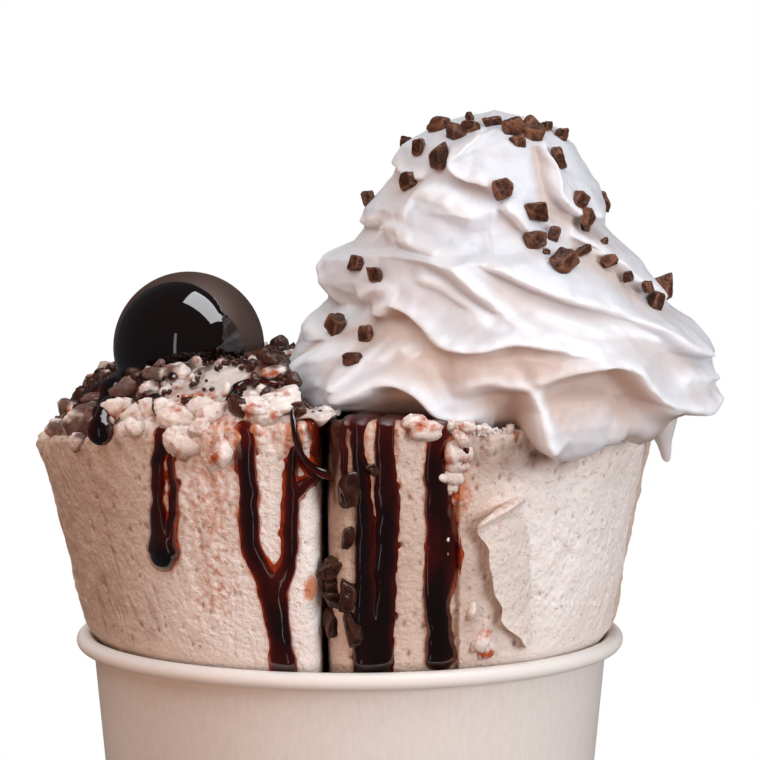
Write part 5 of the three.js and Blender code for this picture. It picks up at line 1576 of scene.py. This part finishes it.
def buildStrings():
    # sauce strings follow the heap's surface over its lumps
    vertices, faces, thin, start = [], [[], []], [], 0
    for rows in sauceStrings + hangingSauce:
        line = curveThrough(rows, 90)
        if rows in hangingSauce:
            path = line[:, :3] + np.array([0, 0, cup["height"]])
            tube, width = tubeAlong(path, line[:, 3], 0.85, reference=(0, -0.7, 0.7))
        else:
            path = heapAt(line[:, 0], line[:, 1])
            bumps = heapRelief(path) - heapSink(path)
            soft = np.convolve(np.pad(bumps, 6, mode="edge"), np.ones(13) / 13, mode="valid")
            path[:, 2] += 0.75 * soft + line[:, 3] - 0.3
            path = path + 0.25 * np.stack([noise(path, 2.0, 120), noise(path, 2.0, 121), 0 * soft], -1)
            tube, width = tubeAlong(path, line[:, 2] * (1 + 0.25 * noise(path, 1.6, 122)))
        vertices.append(closedRows(tube))
        for target, part in zip(faces, closedFaces(*tube.shape[:2])):
            target.append(part + start)
        side = np.abs(np.cos(-np.linspace(0, 2 * np.pi, tube.shape[1], endpoint=False)))
        ends = np.exp(-width / 0.25)[:, None]
        thin.append(closedValues(np.clip(0.4 * side**3 + 0.4 * ends, 0, 1)))
        start += len(vertices[-1])
    meshPiece("sauce_strings", np.vstack(vertices), [np.vstack(part) for part in faces], sauceMaterial,
              {"thin": np.concatenate(thin)})


buildToppings()
buildTornEdge()
buildStrings()
print("toppings done")


# Floor, light and camera
stage = {
    "floorInner": 0.17, "floorOuter": 0.26, "floor": colour(236, 234, 232), "backdrop": 1.0,
    "fill": (0.222, 0.162, 0.13), "glossyFill": (0.06, 0.06, 0.065),
}
camera = {
    "place": (5.4, -613.3, 175.9), "pitch": 5.15, "focalPixels": 3444, "framePixels": 760, "sensor": 36,
}
# Lamps: place from the cup's axis and aim in millimetres, size in metres, power in watts, colour, and
# whether the lamp makes only reflections or only light
lamps = [
    {"name": "keyBox", "place": (240, -450, 730), "aim": (0, 0, 110), "size": (0.78, 0.62), "power": 1.92,
     "tint": (1.0, 0.98, 0.97), "shine": False},
    {"name": "keyShine", "place": (305, -175, 870), "aim": (-28, -8, 127), "size": (0.54, 0.79), "power": 7,
     "tint": (0.97, 0.97, 1.0), "shine": True},
    {"name": "leftTop", "place": (-330, -370, 860), "aim": (0, 0, 120), "size": (0.8, 0.8), "power": 3.5,
     "tint": (0.93, 0.96, 1.0), "shine": False},
    {"name": "frontFill", "place": (740, -620, 210), "aim": (0, 0, 100), "size": (0.5, 0.5), "power": 5.9,
     "tint": (0.94, 0.96, 1.0), "shine": False},
    {"name": "edgeStrip", "place": (-240, -680, 60), "aim": (0, 0, 110), "size": (0.05, 0.8), "power": 0.22,
     "tint": (0.95, 0.97, 1.0), "shine": True},
    {"name": "warmFill", "place": (-310, -420, 25), "aim": (0, 0, 60), "size": (0.4, 0.4), "power": 0.8,
     "tint": (1.0, 0.56, 0.38), "shine": False},
    {"name": "backLight", "place": (-200, 620, 520), "aim": (0, 0, 110), "size": (0.7, 0.5), "power": 4,
     "tint": (1.0, 0.98, 0.96), "shine": False},
]


def buildFloor():
    # a round pale floor that fades out into the backdrop
    material = bpy.data.materials.new("paleFloor")
    material.use_nodes = True
    tree = material.node_tree
    shader = tree.nodes["Principled BSDF"]
    shader.inputs["Base Color"].default_value = stage["floor"]
    shader.inputs["Roughness"].default_value = 0.9
    place = addNode(tree, "ShaderNodeTexCoord").outputs["Object"]
    away = addNode(tree, "ShaderNodeVectorMath", {0: place}, operation="LENGTH").outputs["Value"]
    fade = addNode(tree, "ShaderNodeMapRange", {
        "Value": away, "From Min": stage["floorInner"], "From Max": stage["floorOuter"],
        "To Min": 1.0, "To Max": 0.0,
    }, interpolation_type="SMOOTHSTEP")
    tree.links.new(fade.outputs[0], shader.inputs["Alpha"])
    bpy.ops.mesh.primitive_circle_add(vertices=96, radius=stage["floorOuter"], fill_type="NGON")
    floor = bpy.context.object
    floor.name = "floor"
    floor.data.materials.append(material)
    floor.visible_glossy = False
    floor.visible_diffuse = False


def buildWorld():
    # a pale backdrop to the camera, a dimmer warm fill for everything else
    world = bpy.data.worlds.new("studio")
    bpy.context.scene.world = world
    world.use_nodes = True
    tree = world.node_tree
    tree.nodes.clear()
    path = addNode(tree, "ShaderNodeLightPath")
    fill = mixColour(tree, path.outputs["Is Glossy Ray"], (*stage["fill"], 1), (*stage["glossyFill"], 1))
    shown = mixColour(tree, path.outputs["Is Camera Ray"], fill, (*[stage["backdrop"]] * 3, 1))
    background = addNode(tree, "ShaderNodeBackground", {"Color": shown})
    output = addNode(tree, "ShaderNodeOutputWorld")
    tree.links.new(background.outputs[0], output.inputs[0])


def buildLamps():
    for lamp in lamps:
        light = bpy.data.lights.new(lamp["name"], "AREA")
        light.shape = "RECTANGLE"
        light.size, light.size_y = lamp["size"]
        light.energy = lamp["power"]
        light.color = lamp["tint"]
        holder = bpy.data.objects.new(lamp["name"], light)
        bpy.context.scene.collection.objects.link(holder)
        holder.visible_glossy = lamp["shine"]
        holder.visible_diffuse = not lamp["shine"]
        place = np.array(lamp["place"]) * metre + axisPlace
        aim = np.array(lamp["aim"]) * metre + axisPlace
        holder.location = place
        holder.rotation_euler = Vector(aim - place).to_track_quat("-Z", "Y").to_euler()


def buildCamera():
    lens = bpy.data.cameras.new("photoCamera")
    lens.sensor_width = camera["sensor"]
    lens.lens = camera["focalPixels"] / camera["framePixels"] * camera["sensor"]
    lens.clip_start = 0.05
    holder = bpy.data.objects.new("photoCamera", lens)
    bpy.context.scene.collection.objects.link(holder)
    holder.location = np.array(camera["place"]) * metre + axisPlace
    holder.rotation_euler = (math.radians(90 - camera["pitch"]), 0, 0)
    bpy.context.scene.camera = holder


buildFloor()
buildWorld()
buildLamps()
buildCamera()
bpy.context.scene.view_settings.view_transform = "Standard"
print("stage done")

bpy.context.view_layer.update()
